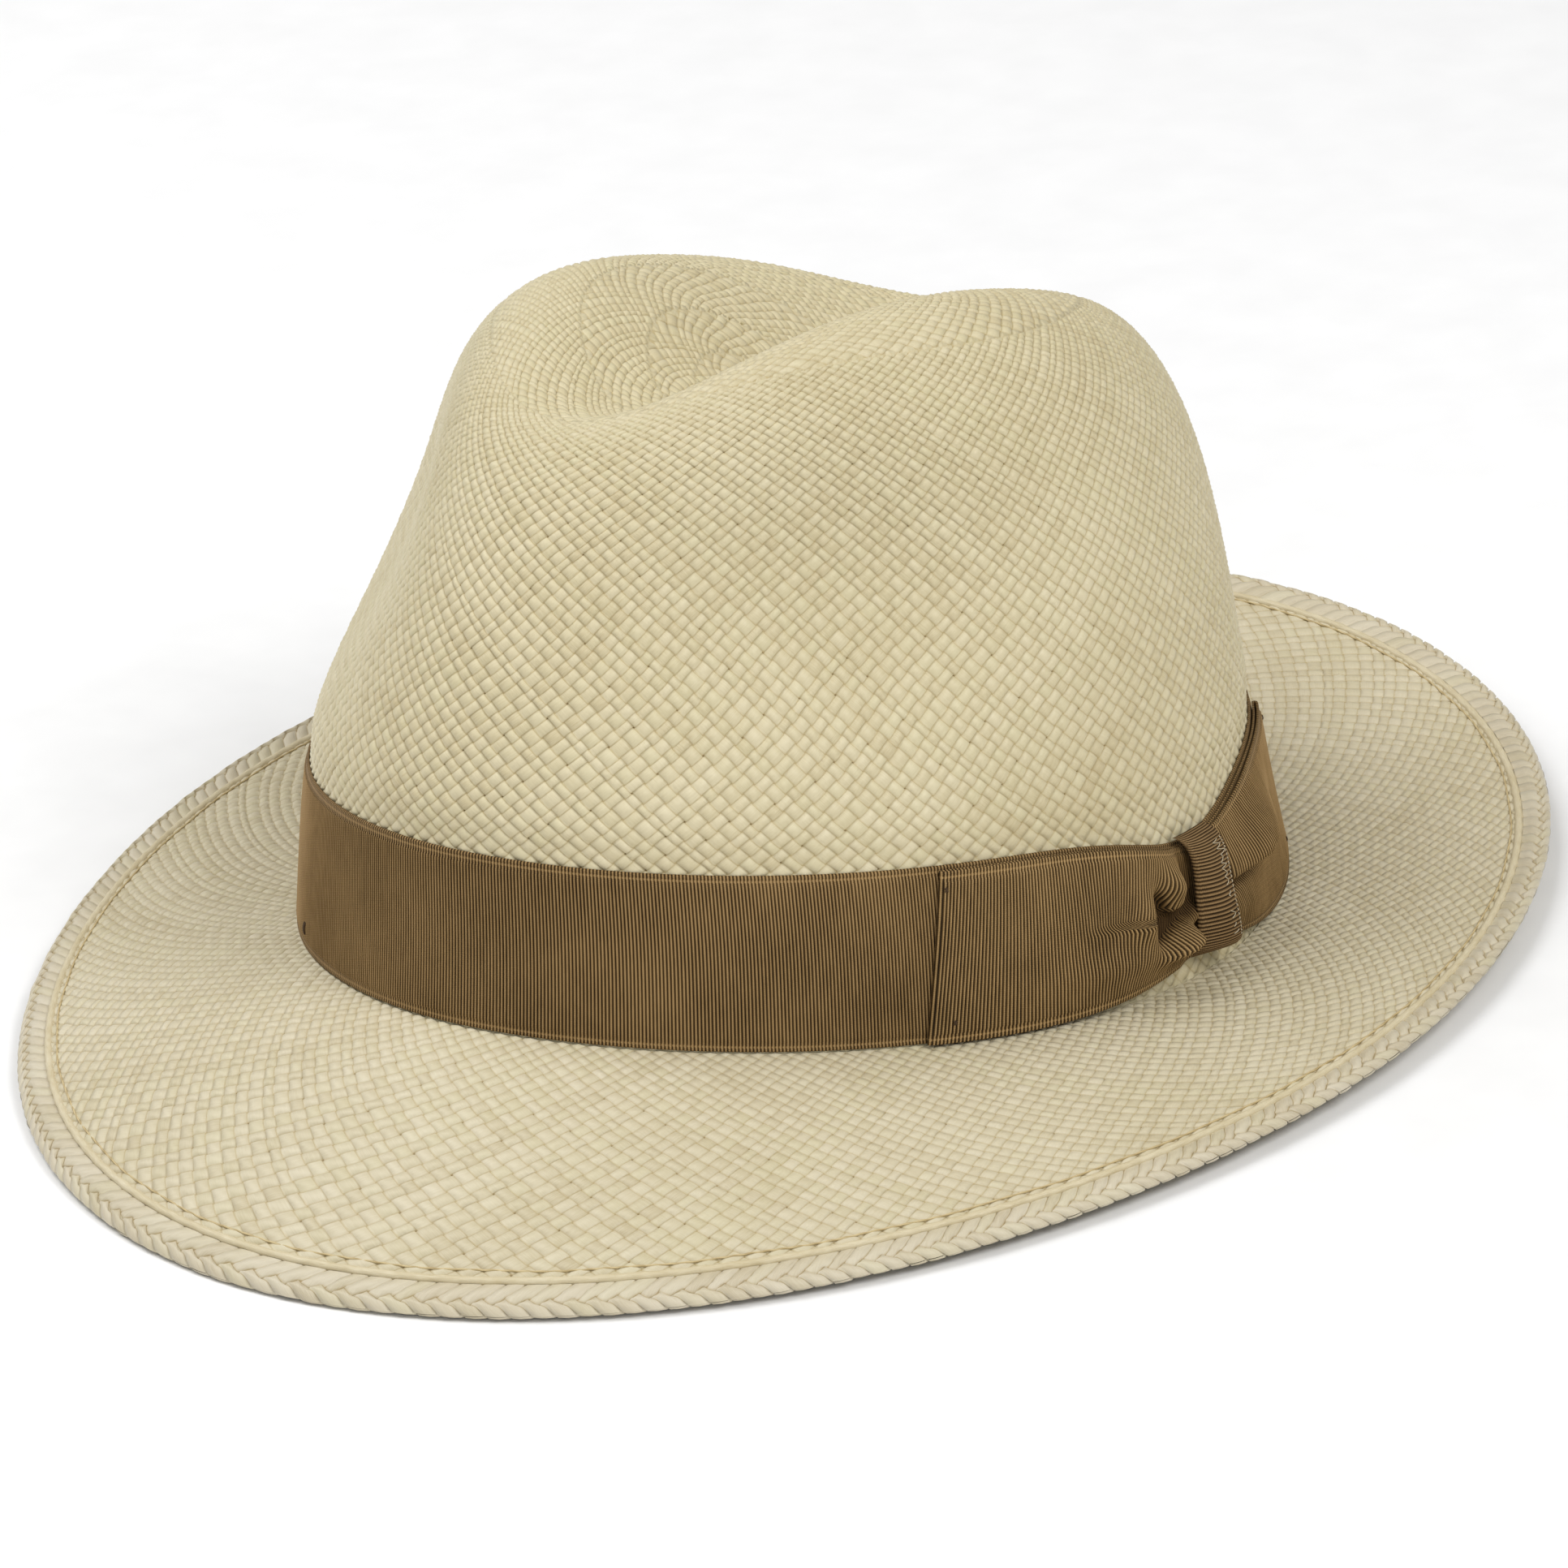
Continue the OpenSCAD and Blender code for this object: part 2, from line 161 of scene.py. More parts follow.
def wall(a, h, off):
    """A point on the crown's side, h above the fold and off outside the straw."""
    a, h, off = np.broadcast_arrays(a, h, off)
    ox, oy = oval(a)
    nx, ny = oval_out(a)
    base = fold_z(a)
    zn = np.maximum(h / (block_top(ox, oy) - base), 0)
    p = crown_point(zn, (1 - zn ** SHOULDER) ** (1 / SHOULDER), a)
    return np.stack([p[..., 0] + nx * off, p[..., 1] + ny * off, base + h], -1)


def band_low(a):
    return GAP + GATHER_LOW * bell((np.degrees(a) - KNOT) / 13)


def band_high(a):
    return BAND_H - GATHER_HIGH * bell((np.degrees(a) - KNOT) / 14)


def brim_w(a):
    return (BRIM_S + (BRIM_F + BRIM_B - 2 * BRIM_S) / 4 * (1 + np.cos(2 * a))
            + (BRIM_F - BRIM_B) / 2 * np.cos(a))


def brim_at(a, w, up=0.0):
    """The middle of the brim's thickness, w out from the crown, raised by up."""
    ox, oy = oval(a)
    nx, ny = oval_out(a)
    wide = brim_w(a)
    f = np.maximum(w + NIP, 0) / (wide + NIP)
    base = fold_z(a) - STRAW / 2
    rim = RIM_SLOPE * (oy + ny * wide) - RIM_DROP
    return np.stack([ox + nx * w, oy + ny * w, base + (rim - base) * f ** CURL + up], -1)


def seat(p):
    """Head frame in mm to the row's frame in metres."""
    t = rad(-SEAT_TILT)
    p = np.asarray(p, float)
    x, y, z = p[..., 0], p[..., 1], p[..., 2]
    return np.stack([x, y * math.cos(t) - z * math.sin(t) + SEAT_SHIFT,
                     y * math.sin(t) + z * math.cos(t) + SEAT_LIFT], -1) / 1000


# equal steps along the oval instead of equal angles
_a = np.linspace(0, TAU, 2881)
_x, _y = oval(_a)
_arc = np.concatenate([[0], np.cumsum(np.hypot(np.diff(_x), np.diff(_y)))])


def arc_angle(share):
    whole = np.floor(share)
    return np.interp((share - whole) * _arc[-1], _arc, _a) + whole * TAU


# ---------------------------------------------------------------- smooth noise on a ring
def ring_noise(n, seed, waves=6):
    """A smooth random function of a turn share, with n base waves."""
    r = np.random.default_rng(seed)
    amp, ph = r.normal(size=waves), r.uniform(0, TAU, waves)
    fr = r.integers(1, n + 1, waves)
    norm = math.sqrt((amp ** 2).sum() / 2)
    return lambda s: sum(a * np.sin(TAU * f * s + p) for a, f, p in zip(amp, fr, ph)) / norm


# ---------------------------------------------------------------- mesh helpers
def new_object(name, verts, faces, material, uv, colors=None):
    """A mesh object from arrays. faces is a list of integer arrays, quads or triangles."""
    me = bpy.data.meshes.new(name)
    verts = np.asarray(verts, np.float32)
    loops = np.concatenate([f.ravel() for f in faces]).astype(np.int32)
    sizes = np.concatenate([np.full(len(f), f.shape[1], np.int32) for f in faces])
    starts = np.concatenate([[0], np.cumsum(sizes)[:-1]]).astype(np.int32)
    me.vertices.add(len(verts))
    me.vertices.foreach_set("co", verts.ravel())
    me.loops.add(len(loops))
    me.loops.foreach_set("vertex_index", loops)
    me.polygons.add(len(sizes))
    me.polygons.foreach_set("loop_start", starts)
    me.polygons.foreach_set("loop_total", sizes)
    me.update(calc_edges=True)
    me.polygons.foreach_set("use_smooth", np.full(len(sizes), True))
    layer = me.uv_layers.new(name="UVMap")
    layer.data.foreach_set("uv", np.asarray(uv, np.float32).ravel())
    for key, val in (colors or {}).items():
        at = me.color_attributes.new(name=key, type="FLOAT_COLOR", domain="CORNER")
        at.data.foreach_set("color", np.asarray(val, np.float32).ravel())
    me.validate(clean_customdata=False)
    me.materials.append(material)
    ob = bpy.data.objects.new(name, me)
    bpy.context.scene.collection.objects.link(ob)
    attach(ob, "root")
    return ob


def corner_color(r, g=None, b=None):
    """Values at face corners as the colour rows that a colour attribute takes."""
    g, b = r if g is None else g, r if b is None else b
    return np.stack([r, g, b, np.ones_like(r)], -1)


class Grid:
    """Collects grids of points into one mesh. U and V give its UV map, D a painted shade, 1 for none.
    """

    def __init__(self):
        self.v, self.f, self.uv, self.d, self.n = [], [], [], [], 0

    def add(self, P, U=None, V=None, D=None, wrap_u=False, wrap_v=False, flip=False):
        nu, nv = P.shape[:2]
        D = np.ones((nu, nv)) if D is None else D
        U = np.broadcast_to(np.linspace(0, 1, nu)[:, None] if U is None else U, (nu, nv))
        V = np.broadcast_to(np.linspace(0, 1, nv)[None] if V is None else V, (nu, nv))
        i, j = np.meshgrid(np.arange(nu if wrap_u else nu - 1),
                           np.arange(nv if wrap_v else nv - 1), indexing="ij")
        i, j = i.ravel(), j.ravel()
        i2, j2 = (i + 1) % nu, (j + 1) % nv
        q = np.stack([i * nv + j, i2 * nv + j, i2 * nv + j2, i * nv + j2], 1)
        du = U[1, 0] - U[0, 0] if nu > 1 else 0
        dv = V[0, 1] - V[0, 0] if nv > 1 else 0
        uu = np.stack([U[i, j], np.where(i + 1 < nu, U[i2, j], U[i, j] + du),
                       np.where(i + 1 < nu, U[i2, j2], U[i, j2] + du), U[i, j2]], 1)
        vv = np.stack([V[i, j], V[i2, j], np.where(j + 1 < nv, V[i2, j2], V[i2, j] + dv),
                       np.where(j + 1 < nv, V[i, j2], V[i, j] + dv)], 1)
        uv = np.stack([uu, vv], -1)
        d = np.stack([D[i, j], D[i2, j], D[i2, j2], D[i, j2]], 1)
        if flip:
            q, uv, d = q[:, ::-1], uv[:, ::-1], d[:, ::-1]
        self.v.append(P.reshape(-1, 3))
        self.f.append(q + self.n)
        self.uv.append(uv)
        self.d.append(d)
        self.n += nu * nv
        return self

    def build(self, name, material, slot):
        uv = np.concatenate([u.reshape(-1, 2) for u in self.uv])
        v = np.concatenate(self.v)
        _, first, same = np.unique(np.round(v, 7), axis=0, return_index=True, return_inverse=True)
        same = same.ravel()
        d = np.concatenate([x.ravel() for x in self.d])
        colors = {"depth": corner_color(d)} if d.min() < 1 else None
        return new_object(name, v[first], [same[f] for f in self.f], material, uv, colors)


def tube_points(path, r, sides, closed=True, turn=None, lobes=0, lobe=0.0):
    """Rings of points round a path (n, 3), optionally a twisted lobed section."""
    path = np.asarray(path, float)
    if closed:
        t = np.roll(path, -1, 0) - np.roll(path, 1, 0)
    else:
        t = np.gradient(path, axis=0)
    t /= np.linalg.norm(t, axis=1, keepdims=True)
    ref = np.where(np.abs(t[:, 2:3]) > 0.9, [[1.0, 0, 0]], [[0.0, 0, 1.0]])
    s = np.cross(t, ref)
    s /= np.linalg.norm(s, axis=1, keepdims=True)
    u = np.cross(s, t)
    b = np.arange(sides) / sides * TAU
    turn = np.zeros(len(path)) if turn is None else turn
    rr = r * np.ones(len(path))
    far = rr[:, None] * (1 + lobe * np.cos(lobes * (b[None] - turn[:, None])))
    return (path[:, None] + far[..., None] * (np.cos(b)[None, :, None] * s[:, None]
                                              + np.sin(b)[None, :, None] * u[:, None]))


def capped_tube(grid, path, r, sides=6):
    n = len(path)
    rr = np.full(n, r)
    rr[0] = rr[-1] = r * 0.25
    grid.add(seat(tube_points(path, rr, sides, closed=False)), wrap_v=True)


# ---------------------------------------------------------------- materials
def srgb(r, g, b):
    def one(c):
        c /= 255
        return c / 12.92 if c <= 0.04045 else ((c + 0.055) / 1.055) ** 2.4
    return one(r), one(g), one(b), 1.0


class Mat:
    """A small helper for node trees."""

    def __init__(self, name):
        self.m = bpy.data.materials.new(name)
        self.m.use_nodes = True
        self.t = self.m.node_tree
        self.b = self.t.nodes["Principled BSDF"]

    def node(self, kind, **sets):
        n = self.t.nodes.new(kind)
        for k, v in sets.items():
            if k in n.inputs:
                n.inputs[k].default_value = v
            else:
                setattr(n, k, v)
        return n

    def link(self, a, b):
        self.t.links.new(a, b)

    def math(self, op, a, b=None, c=None):
        n = self.t.nodes.new("ShaderNodeMath")
        n.operation = op
        for i, x in enumerate((a, b, c)):
            if x is None:
                continue
            if hasattr(x, "links"):
                self.link(x, n.inputs[i])
            else:
                n.inputs[i].default_value = x
        return n.outputs[0]

    def attribute(self, name):
        """The three numbers stored in a colour attribute of the mesh."""
        return self.split(self.node("ShaderNodeAttribute", attribute_name=name).outputs["Vector"])

    def mix(self, fac, a, b, blend="MIX"):
        n = self.t.nodes.new("ShaderNodeMix")
        n.data_type, n.blend_type = "RGBA", blend
        for sock, x in ((n.inputs[0], fac), (n.inputs[6], a), (n.inputs[7], b)):
            if hasattr(x, "links"):
                self.link(x, sock)
            else:
                sock.default_value = x
        return n.outputs[2]

    def ramp(self, fac, stops):
        n = self.t.nodes.new("ShaderNodeValToRGB")
        e = n.color_ramp.elements
        while len(e) < len(stops):
            e.new(0.5)
        for el, (p, c) in zip(e, stops):
            el.position, el.color = p, c
        self.link(fac, n.inputs[0])
        return n.outputs[0]

    def noise(self, vec, scale, detail=3.0, rough=0.5):
        n = self.node("ShaderNodeTexNoise", Scale=scale, Detail=detail, Roughness=rough)
        self.link(vec, n.inputs["Vector"])
        return n.outputs["Fac"]

    def coords(self):
        return self.node("ShaderNodeTexCoord").outputs["Object"]

    def uv(self):
        return self.node("ShaderNodeUVMap", uv_map="UVMap").outputs[0]

    def split(self, vec):
        n = self.node("ShaderNodeSeparateXYZ")
        self.link(vec, n.inputs[0])
        return n.outputs

    def join(self, x, y, z=0.0):
        n = self.node("ShaderNodeCombineXYZ")
        for sock, v in zip(n.inputs, (x, y, z)):
            if hasattr(v, "links"):
                self.link(v, sock)
            else:
                sock.default_value = v
        return n.outputs[0]

    def bump(self, height, strength, distance):
        n = self.node("ShaderNodeBump", Strength=strength, Distance=distance)
        self.link(height, n.inputs["Height"])
        self.link(n.outputs[0], self.b.inputs["Normal"])

    def set(self, **kw):
        for k, v in kw.items():
            sock = self.b.inputs[k.replace("_", " ")]
            if hasattr(v, "links"):
                self.link(v, sock)
            else:
                sock.default_value = v
        return self


def straw_material(name, pale, mid, dark):
    """Straw strands. The mesh stores each strand's tones and how deep a point lies, which sets the
    shade painted into the hollows.
    """
    m = Mat(name)
    tone, line, slow = m.attribute("strand")
    x, y, _ = m.split(m.uv())
    # fibres run along the strand: x is along it and y across it
    seed = m.math("MULTIPLY", tone, 37.0)
    fibre_vec = m.join(m.math("ADD", m.math("MULTIPLY", x, 0.55), seed),
                       m.math("ADD", m.math("MULTIPLY", y, 11.0), seed), line)
    fibre = m.noise(fibre_vec, 1.6, 3.0, 0.62)
    cloud = m.noise(m.coords(), 28.0, 2.0, 0.5)
    shade = m.math("MULTIPLY_ADD", tone, 0.10,
                   m.math("MULTIPLY_ADD", line, 0.14,
                          m.math("MULTIPLY_ADD", fibre, 0.42, m.math("MULTIPLY", cloud, 0.30))))
    col = m.ramp(shade, [(0.14, dark), (0.44, mid), (0.80, pale)])
    tint = m.mix(m.math("MULTIPLY", slow, 0.22), col, srgb(206, 200, 158))
    # painted shade: the colour darkens where the strands dive under each other
    low = m.ramp(m.attribute("depth")[0], [(0.0, (0.20, 0.14, 0.07, 1)), (0.20, (0.62, 0.53, 0.36, 1)),
                                           (0.36, (0.88, 0.84, 0.75, 1)), (0.62, (1, 1, 1, 1))])
    m.set(Base_Color=m.mix(1.0, tint, low, "MULTIPLY"),
          Roughness=m.math("MULTIPLY_ADD", fibre, 0.22, 0.33), Specular_IOR_Level=0.42,
          Sheen_Weight=0.04)
    fine = m.noise(m.join(m.math("MULTIPLY", x, 1.2), m.math("MULTIPLY", y, 26.0), seed), 1.4)
    m.bump(m.math("MULTIPLY_ADD", fine, 0.5, fibre), 0.35, 0.00012)
    return m.m


WARP_RATE, QUARTER = 9.0, 1.571      # waves of the fine threads per mm, and a quarter turn
EDGE_LINE, EDGE_HALF = 1.0, 0.30     # mm, place and half width of a ribbon's pale edge line


def grosgrain_material(name, pale, mid, dark, across=0.0, folds=False):
    """Ribbon. UV x counts its ribs, UV y counts millimetres along a rib.

    One that is `across` mm wide gets pale edge lines, and `folds` paints shade into its deep folds.
    """
    m = Mat(name)
    x, y, _ = m.split(m.uv())
    # painted highlight and painted shade: each rib's crest is coloured pale and the gap between ribs
    # dark
    rib = m.math("SINE", m.math("MULTIPLY", x, math.pi))
    rib = m.math("POWER", m.math("ABSOLUTE", rib), 1.5)
    number = m.math("FLOOR", x)
    per_rib = m.noise(m.join(number, m.math("MULTIPLY", y, 0.06)), 3.1, 2.0)
    cloud = m.noise(m.coords(), 45.0, 3.0)
    # the fine warp threads that cross each rib
    warp = m.math("MULTIPLY_ADD", y, WARP_RATE, m.math("MULTIPLY", number, QUARTER))
    warp = m.math("ABSOLUTE", m.math("SINE", warp))
    fleck = m.noise(m.join(m.math("MULTIPLY", x, 2.0), m.math("MULTIPLY", y, 2.2)), 2.4, 2.0, 0.7)
    shade = m.math("MULTIPLY", warp, 0.10)
    for part, share in ((fleck, 0.18), (cloud, 0.26), (per_rib, 0.20), (rib, 0.62)):
        shade = m.math("MULTIPLY_ADD", part, share, shade)
    if across:
        # the woven edge shows one pale dashed line
        off = m.math("ABSOLUTE", m.math("SUBTRACT", y, across / 2))
        off = m.math("ABSOLUTE", m.math("SUBTRACT", off, across / 2 - EDGE_LINE))
        line = m.math("SUBTRACT", 1.0, m.math("DIVIDE", off, EDGE_HALF))
        dash = m.math("MULTIPLY_ADD", m.math("SINE", m.math("MULTIPLY", x, TAU)), 0.20, 0.30)
        shade = m.math("MULTIPLY_ADD", m.math("MAXIMUM", line, 0.0), dash, shade)
    col = m.ramp(shade, [(0.38, dark), (0.78, mid), (1.0, pale)])
    # painted shade in the wing's folds, read from the mesh's depth attribute
    if folds:
        low = m.ramp(m.attribute("depth")[0],
                     [(0.20, (0.16, 0.12, 0.07, 1)), (0.55, (0.52, 0.48, 0.40, 1)),
                      (0.88, (1, 1, 1, 1))])
        col = m.mix(1.0, col, low, "MULTIPLY")
    m.set(Base_Color=col, Roughness=0.7, Specular_IOR_Level=0.10, Sheen_Weight=0.01,
          Sheen_Roughness=0.4)
    m.bump(m.math("MULTIPLY_ADD", fleck, 0.6, warp), 0.5, 0.00006)
    return m.m


THREAD_TURNS = 900.0      # the plies of a thread wind this fast along UV x


def thread_material(name, pale, dark):
    """A twisted thread or twine."""
    m = Mat(name)
    x, y, _ = m.split(m.uv())
    ply = m.math("MULTIPLY_ADD", x, THREAD_TURNS, m.math("MULTIPLY", y, TAU))
    ply = m.math("ABSOLUTE", m.math("SINE", ply))
    cloud = m.noise(m.coords(), 160.0, 3.0)
    # painted shade: the grooves between the plies are coloured darker than their crowns
    shade = m.math("MULTIPLY_ADD", ply, 0.45, m.math("MULTIPLY", cloud, 0.6))
    m.set(Base_Color=m.ramp(shade, [(0.2, dark), (0.85, pale)]), Roughness=0.6,
          Specular_IOR_Level=0.35)
    m.bump(ply, 0.4, 0.00008)
    return m.m


def leather_material(name, pale, dark):
    """Smooth leather with fine pores and slow patches of wear."""
    m = Mat(name)
    place = m.coords()
    cells = m.node("ShaderNodeTexVoronoi", Scale=900.0)
    m.link(place, cells.inputs["Vector"])
    grain = cells.outputs["Distance"]
    cloud = m.noise(place, 38.0, 4.0, 0.6)
    wear = m.noise(place, 9.0, 2.0)
    shade = m.math("MULTIPLY_ADD", grain, 0.35, m.math("MULTIPLY", wear, 0.3))
    shade = m.math("MULTIPLY_ADD", cloud, 0.6, shade)
    m.set(Base_Color=m.ramp(shade, [(0.25, dark), (0.9, pale)]),
          Roughness=m.math("MULTIPLY_ADD", cloud, 0.25, 0.34), Specular_IOR_Level=0.45)
    m.bump(m.math("MULTIPLY_ADD", cloud, 0.4, grain), 0.35, 0.00012)
    return m.m


def plain_straw(name, pale, dark):
    """One straw strand twisted round itself, its fibres along UV x."""
    m = Mat(name)
    x, y, _ = m.split(m.uv())
    fibre = m.noise(m.join(m.math("MULTIPLY", x, 1.5), m.math("MULTIPLY", y, 14.0)), 2.0, 3.0)
    cloud = m.noise(m.coords(), 120.0, 3.0)
    shade = m.math("MULTIPLY_ADD", fibre, 0.6, m.math("MULTIPLY", cloud, 0.5))
    m.set(Base_Color=m.ramp(shade, [(0.3, dark), (0.8, pale)]), Roughness=0.5,
          Specular_IOR_Level=0.4)
    m.bump(fibre, 0.4, 0.0001)
    return m.m


def tones(maker, name, *colors, **more):
    """A material made from sRGB colours, palest first."""
    return maker(name, *(srgb(*c) for c in colors), **more)


WING_H = BAND_H - 1.2      # mm, the ribbon of the bow is a little narrower than the band
STRAW_MAT = tones(straw_material, "woven_straw", (221, 211, 180), (205, 193, 157), (178, 160, 117))
BRIM_MAT = tones(straw_material, "brim_straw", (217, 208, 183), (201, 190, 160), (176, 160, 121))
BORDER_MAT = tones(straw_material, "border_straw", (214, 206, 186), (199, 188, 162), (172, 157, 124))
RIDGE_MAT = tones(plain_straw, "ridge_straw", (220, 210, 182), (190, 174, 134))
# each ribbon's darkest colour is the painted shade in the gaps between its ribs
BAND_MAT = tones(grosgrain_material, "ribbon_grosgrain", (163, 134, 92), (114, 89, 53), (21, 13, 5),
                 across=BAND_H - GAP)
WING_MAT = tones(grosgrain_material, "wing_grosgrain", (170, 140, 96), (108, 84, 49), (12, 7, 2),
                 across=WING_H, folds=True)
KNOT_MAT = tones(grosgrain_material, "knot_grosgrain", (150, 123, 86), (104, 80, 49), (22, 13, 5))
LINING_RIBBON = tones(grosgrain_material, "lining_ribbon", (112, 88, 60), (82, 62, 40), (48, 34, 20))
DARK_THREAD = tones(thread_material, "dark_thread", (84, 62, 36), (46, 31, 16))
PALE_THREAD = tones(thread_material, "pale_thread", (226, 214, 186), (170, 152, 118))
TWINE = tones(thread_material, "twine", (206, 188, 144), (168, 146, 102))
LEATHER = tones(leather_material, "sweat_leather", (164, 116, 74), (104, 66, 38))

# ---------------------------------------------------------------- woven sheets
# Places of the vertices in a cell, and a strand's height along its float and across its width.
FINE = (np.array([0.0, 0.11, 0.5, 0.89, 1.0]), np.array([0.0, 0.55, 1.0, 0.55, 0.0]),
        np.array([0.0, 0.74, 1.0, 0.74, 0.0]))
MEDIUM = (np.array([0.0, 0.16, 0.84, 1.0]), np.array([0.0, 0.8, 0.8, 0.0]),
          np.array([0.0, 1.0, 1.0, 0.0]))
COARSE = (np.array([0.0, 0.5, 1.0]), np.array([0.0, 1.0, 0.0]), np.array([0.0, 1.0, 0.0]))
LAP = 0.06                 # cells, how far a strand's edge laps over its neighbour's end
HOLE, DIP = -0.75, -0.12   # height of an open corner between four strands, and of a shut one
SWELL = 0.16               # how much the strands differ in height


class Weave:
    """Plain weave laid diagonally on a band of rows round the hat. n strands a way round.

    p and q count strands both ways, so that u = (p + q) / 2 runs round and v = (p - q) / 2 up.
    A cell has k by k steps, and P and Q are p and q in whole steps.
    """

    def __init__(self, n, rows, cut=FINE, seed=1, uneven=0.085):
        pos, along, across = cut
        k = len(pos) - 1
        r = np.random.default_rng(seed)
        top_row = int(round(2 * rows))
        ii, jj, mm = [], [], []
        for m in range(0, top_row + 1):
            j = math.ceil((-m - 1) / 2) + np.arange(n)
            ii.append(j + m)
            jj.append(j)
            mm.append(np.full(n, m))
        i, j, m = (np.concatenate(x)[:, None] for x in (ii, jj, mm))
        a, b = (x.ravel() for x in np.meshgrid(np.arange(k), np.arange(k), indexing="ij"))
        # the first and last rows are halves of cells, cut along their diagonal
        low, high = m == 0, m == top_row
        whole = np.where(low, b + 1 <= a, np.where(high, a + 1 <= b, True))
        half_low, half_high = low & (a == b)[None], high & (a == b)[None]

        def corners(mask, steps):
            out = []
            for da, db in steps:
                sa, sb = a[None] + da, b[None] + db
                out.append(np.stack(np.broadcast_arrays(i * k + sa, j * k + sb, i, j, sa, sb),
                                    -1)[mask])
            return np.stack(out, 1)

        groups = [corners(whole, [(0, 0), (1, 0), (1, 1), (0, 1)]),
                  corners(half_low, [(0, 0), (1, 0), (1, 1)]),
                  corners(half_high, [(0, 0), (1, 1), (0, 1)])]
        P, Q = np.concatenate([g.reshape(-1, 6) for g in groups])[:, :2].T
        turn = np.floor((P // k + pos[P % k] + Q // k + pos[Q % k]) / 2 / n + 1e-6).astype(int)
        P, Q = P - turn * k * n, Q - turn * k * n
        key = (P + 10 ** 6) * 10 ** 7 + (Q + 10 ** 6)
        _, first, inv = np.unique(key, return_index=True, return_inverse=True)
        P, Q = P[first], Q[first]
        pi, pf, qi, qf = P // k, P % k, Q // k, Q % k
        p, q = pi + pos[pf], qi + pos[qf]
        foot, top = np.isclose((p - q) / 2, 0), np.isclose((p - q) / 2, rows)
        even = (pi + qi) % 2 == 0
        on_p, on_q = pf == 0, qf == 0
        p = p + np.where(on_p & ~on_q, np.where(even, LAP, -LAP), 0)
        q = q + np.where(on_q & ~on_p, np.where(even, -LAP, LAP), 0)
        # strands are not all equally wide
        jp, jq = r.normal(0, uneven, n), r.normal(0, uneven, n)
        fp, fq = p - pi, q - qi
        p = p + jp[pi % n] * (1 - fp) + jp[(pi + 1) % n] * fp
        q = q + jq[qi % n] * (1 - fq) + jq[(qi + 1) % n] * fq
        self.u = (p + q) / 2
        self.v = np.clip(np.where(foot, 0, np.where(top, rows, (p - q) / 2)), 0, rows)
        # two primes and a few odd factors scatter the cells' heights and their pin holes
        cell = (pi % n) * 7919 + (qi % n) * 104729
        swell = 1 + SWELL * np.sin(cell * 12.9898) * np.cos(cell * 0.37)
        open_corner = np.sin(cell * 3.77 + pi * 0.13) * np.sin(cell * 1.31 + qi * 0.07) > 0.80
        self.h = np.where(even, along[pf], along[qf]) * np.where(even, across[qf], across[pf])
        self.h = np.where(on_p & on_q, np.where(open_corner, HOLE, DIP), self.h * swell)
        self.seam = np.zeros(len(P), bool)
        self.faces, self.uv, self.attr, at = [], [], [], 0
        line_r, cell_r = r.uniform(0, 1, (2, n)), r.uniform(0, 1, 4096)
        for g in groups:
            c = g.shape[1]
            self.faces.append(inv[at:at + len(g) * c].reshape(-1, c))
            at += len(g) * c
            gi, gj = g[..., 2], g[..., 3]
            fa, fb = pos[g[..., 4]], pos[g[..., 5]]
            ev = (gi + gj) % 2 == 0
            self.uv.append(np.stack([np.where(ev, fa, fb), np.where(ev, fb, fa)], -1))
            tone = cell_r[(gi * 31 + gj * 17) % 4096]
            line = np.where(ev, line_r[0][gj % n], line_r[1][gi % n])
            slow = cell_r[(np.where(ev, gj, gi) * 5 + 11) % 4096] ** 3
            self.attr.append(corner_color(tone, line, slow))


def ring_quads(nu, nv, wrap=True):
    """Faces of a grid of points, nu of them round a ring. Also the index pairs of each face."""
    i, j = np.meshgrid(np.arange(nu if wrap else nu - 1), np.arange(nv - 1), indexing="ij")
    i, j = i.ravel(), j.ravel()
    nxt = (i + 1) % nu
    return np.stack([i * nv + j, nxt * nv + j, nxt * nv + j + 1, i * nv + j + 1], 1), i, j


def plain_faces(P, tone=0.5):
    """A ring of points as a plain part among woven ones, for the small closing strips."""
    q, _, _ = ring_quads(*P.shape[:2])
    square = np.array([[0, 0], [1, 0], [1, 1], [0, 1]], float)
    w = SimpleNamespace(h=np.full(len(P) * P.shape[1], 0.4), seam=False, faces=[q],
                        uv=[np.tile(square, (len(q), 1, 1))],
                        attr=[np.full((len(q), 4, 4), tone)])
    return w, P.reshape(-1, 3)


SEAM_DEEP = 0.42      # shade where one ring of the weave dives under the next


def weave_object(name, parts, material):
    """parts: (weave, points in the row's frame, flip). Joined into one mesh."""
    V, F, UV, AT, DP, n = [], [], [], [], [], 0
    for w, P, flip in parts:
        V.append(P)
        for f, uv, at in zip(w.faces, w.uv, w.attr):
            # painted shade: low strand ends, ring seams and open corners get a low depth and come out
            # darker
            painted_shade_depth = corner_color(np.where(w.seam, SEAM_DEEP, np.clip(w.h * 0.7 + 0.3, 0, 1))[f])
            if flip:
                f, uv, at, painted_shade_depth = f[:, ::-1], uv[:, ::-1], at[:, ::-1], painted_shade_depth[:, ::-1]
            F.append(f + n)
            UV.append(uv.reshape(-1, 2))
            AT.append(at.reshape(-1, 4))
            DP.append(painted_shade_depth.reshape(-1, 4))
        n += len(P)
    return new_object(name, np.concatenate(V), F, material, np.concatenate(UV),
                      {"strand": np.concatenate(AT), "depth": np.concatenate(DP)})


def normals(surface, x, y, dx, dy):
    """Unit normals of surface(x, y) from differences."""
    gx = surface(x + dx, y) - surface(x - dx, y)
    gy = surface(x, y + dy) - surface(x, y - dy)
    n = np.cross(gx, gy)
    return n / np.maximum(np.linalg.norm(n, axis=-1, keepdims=True), 1e-9)


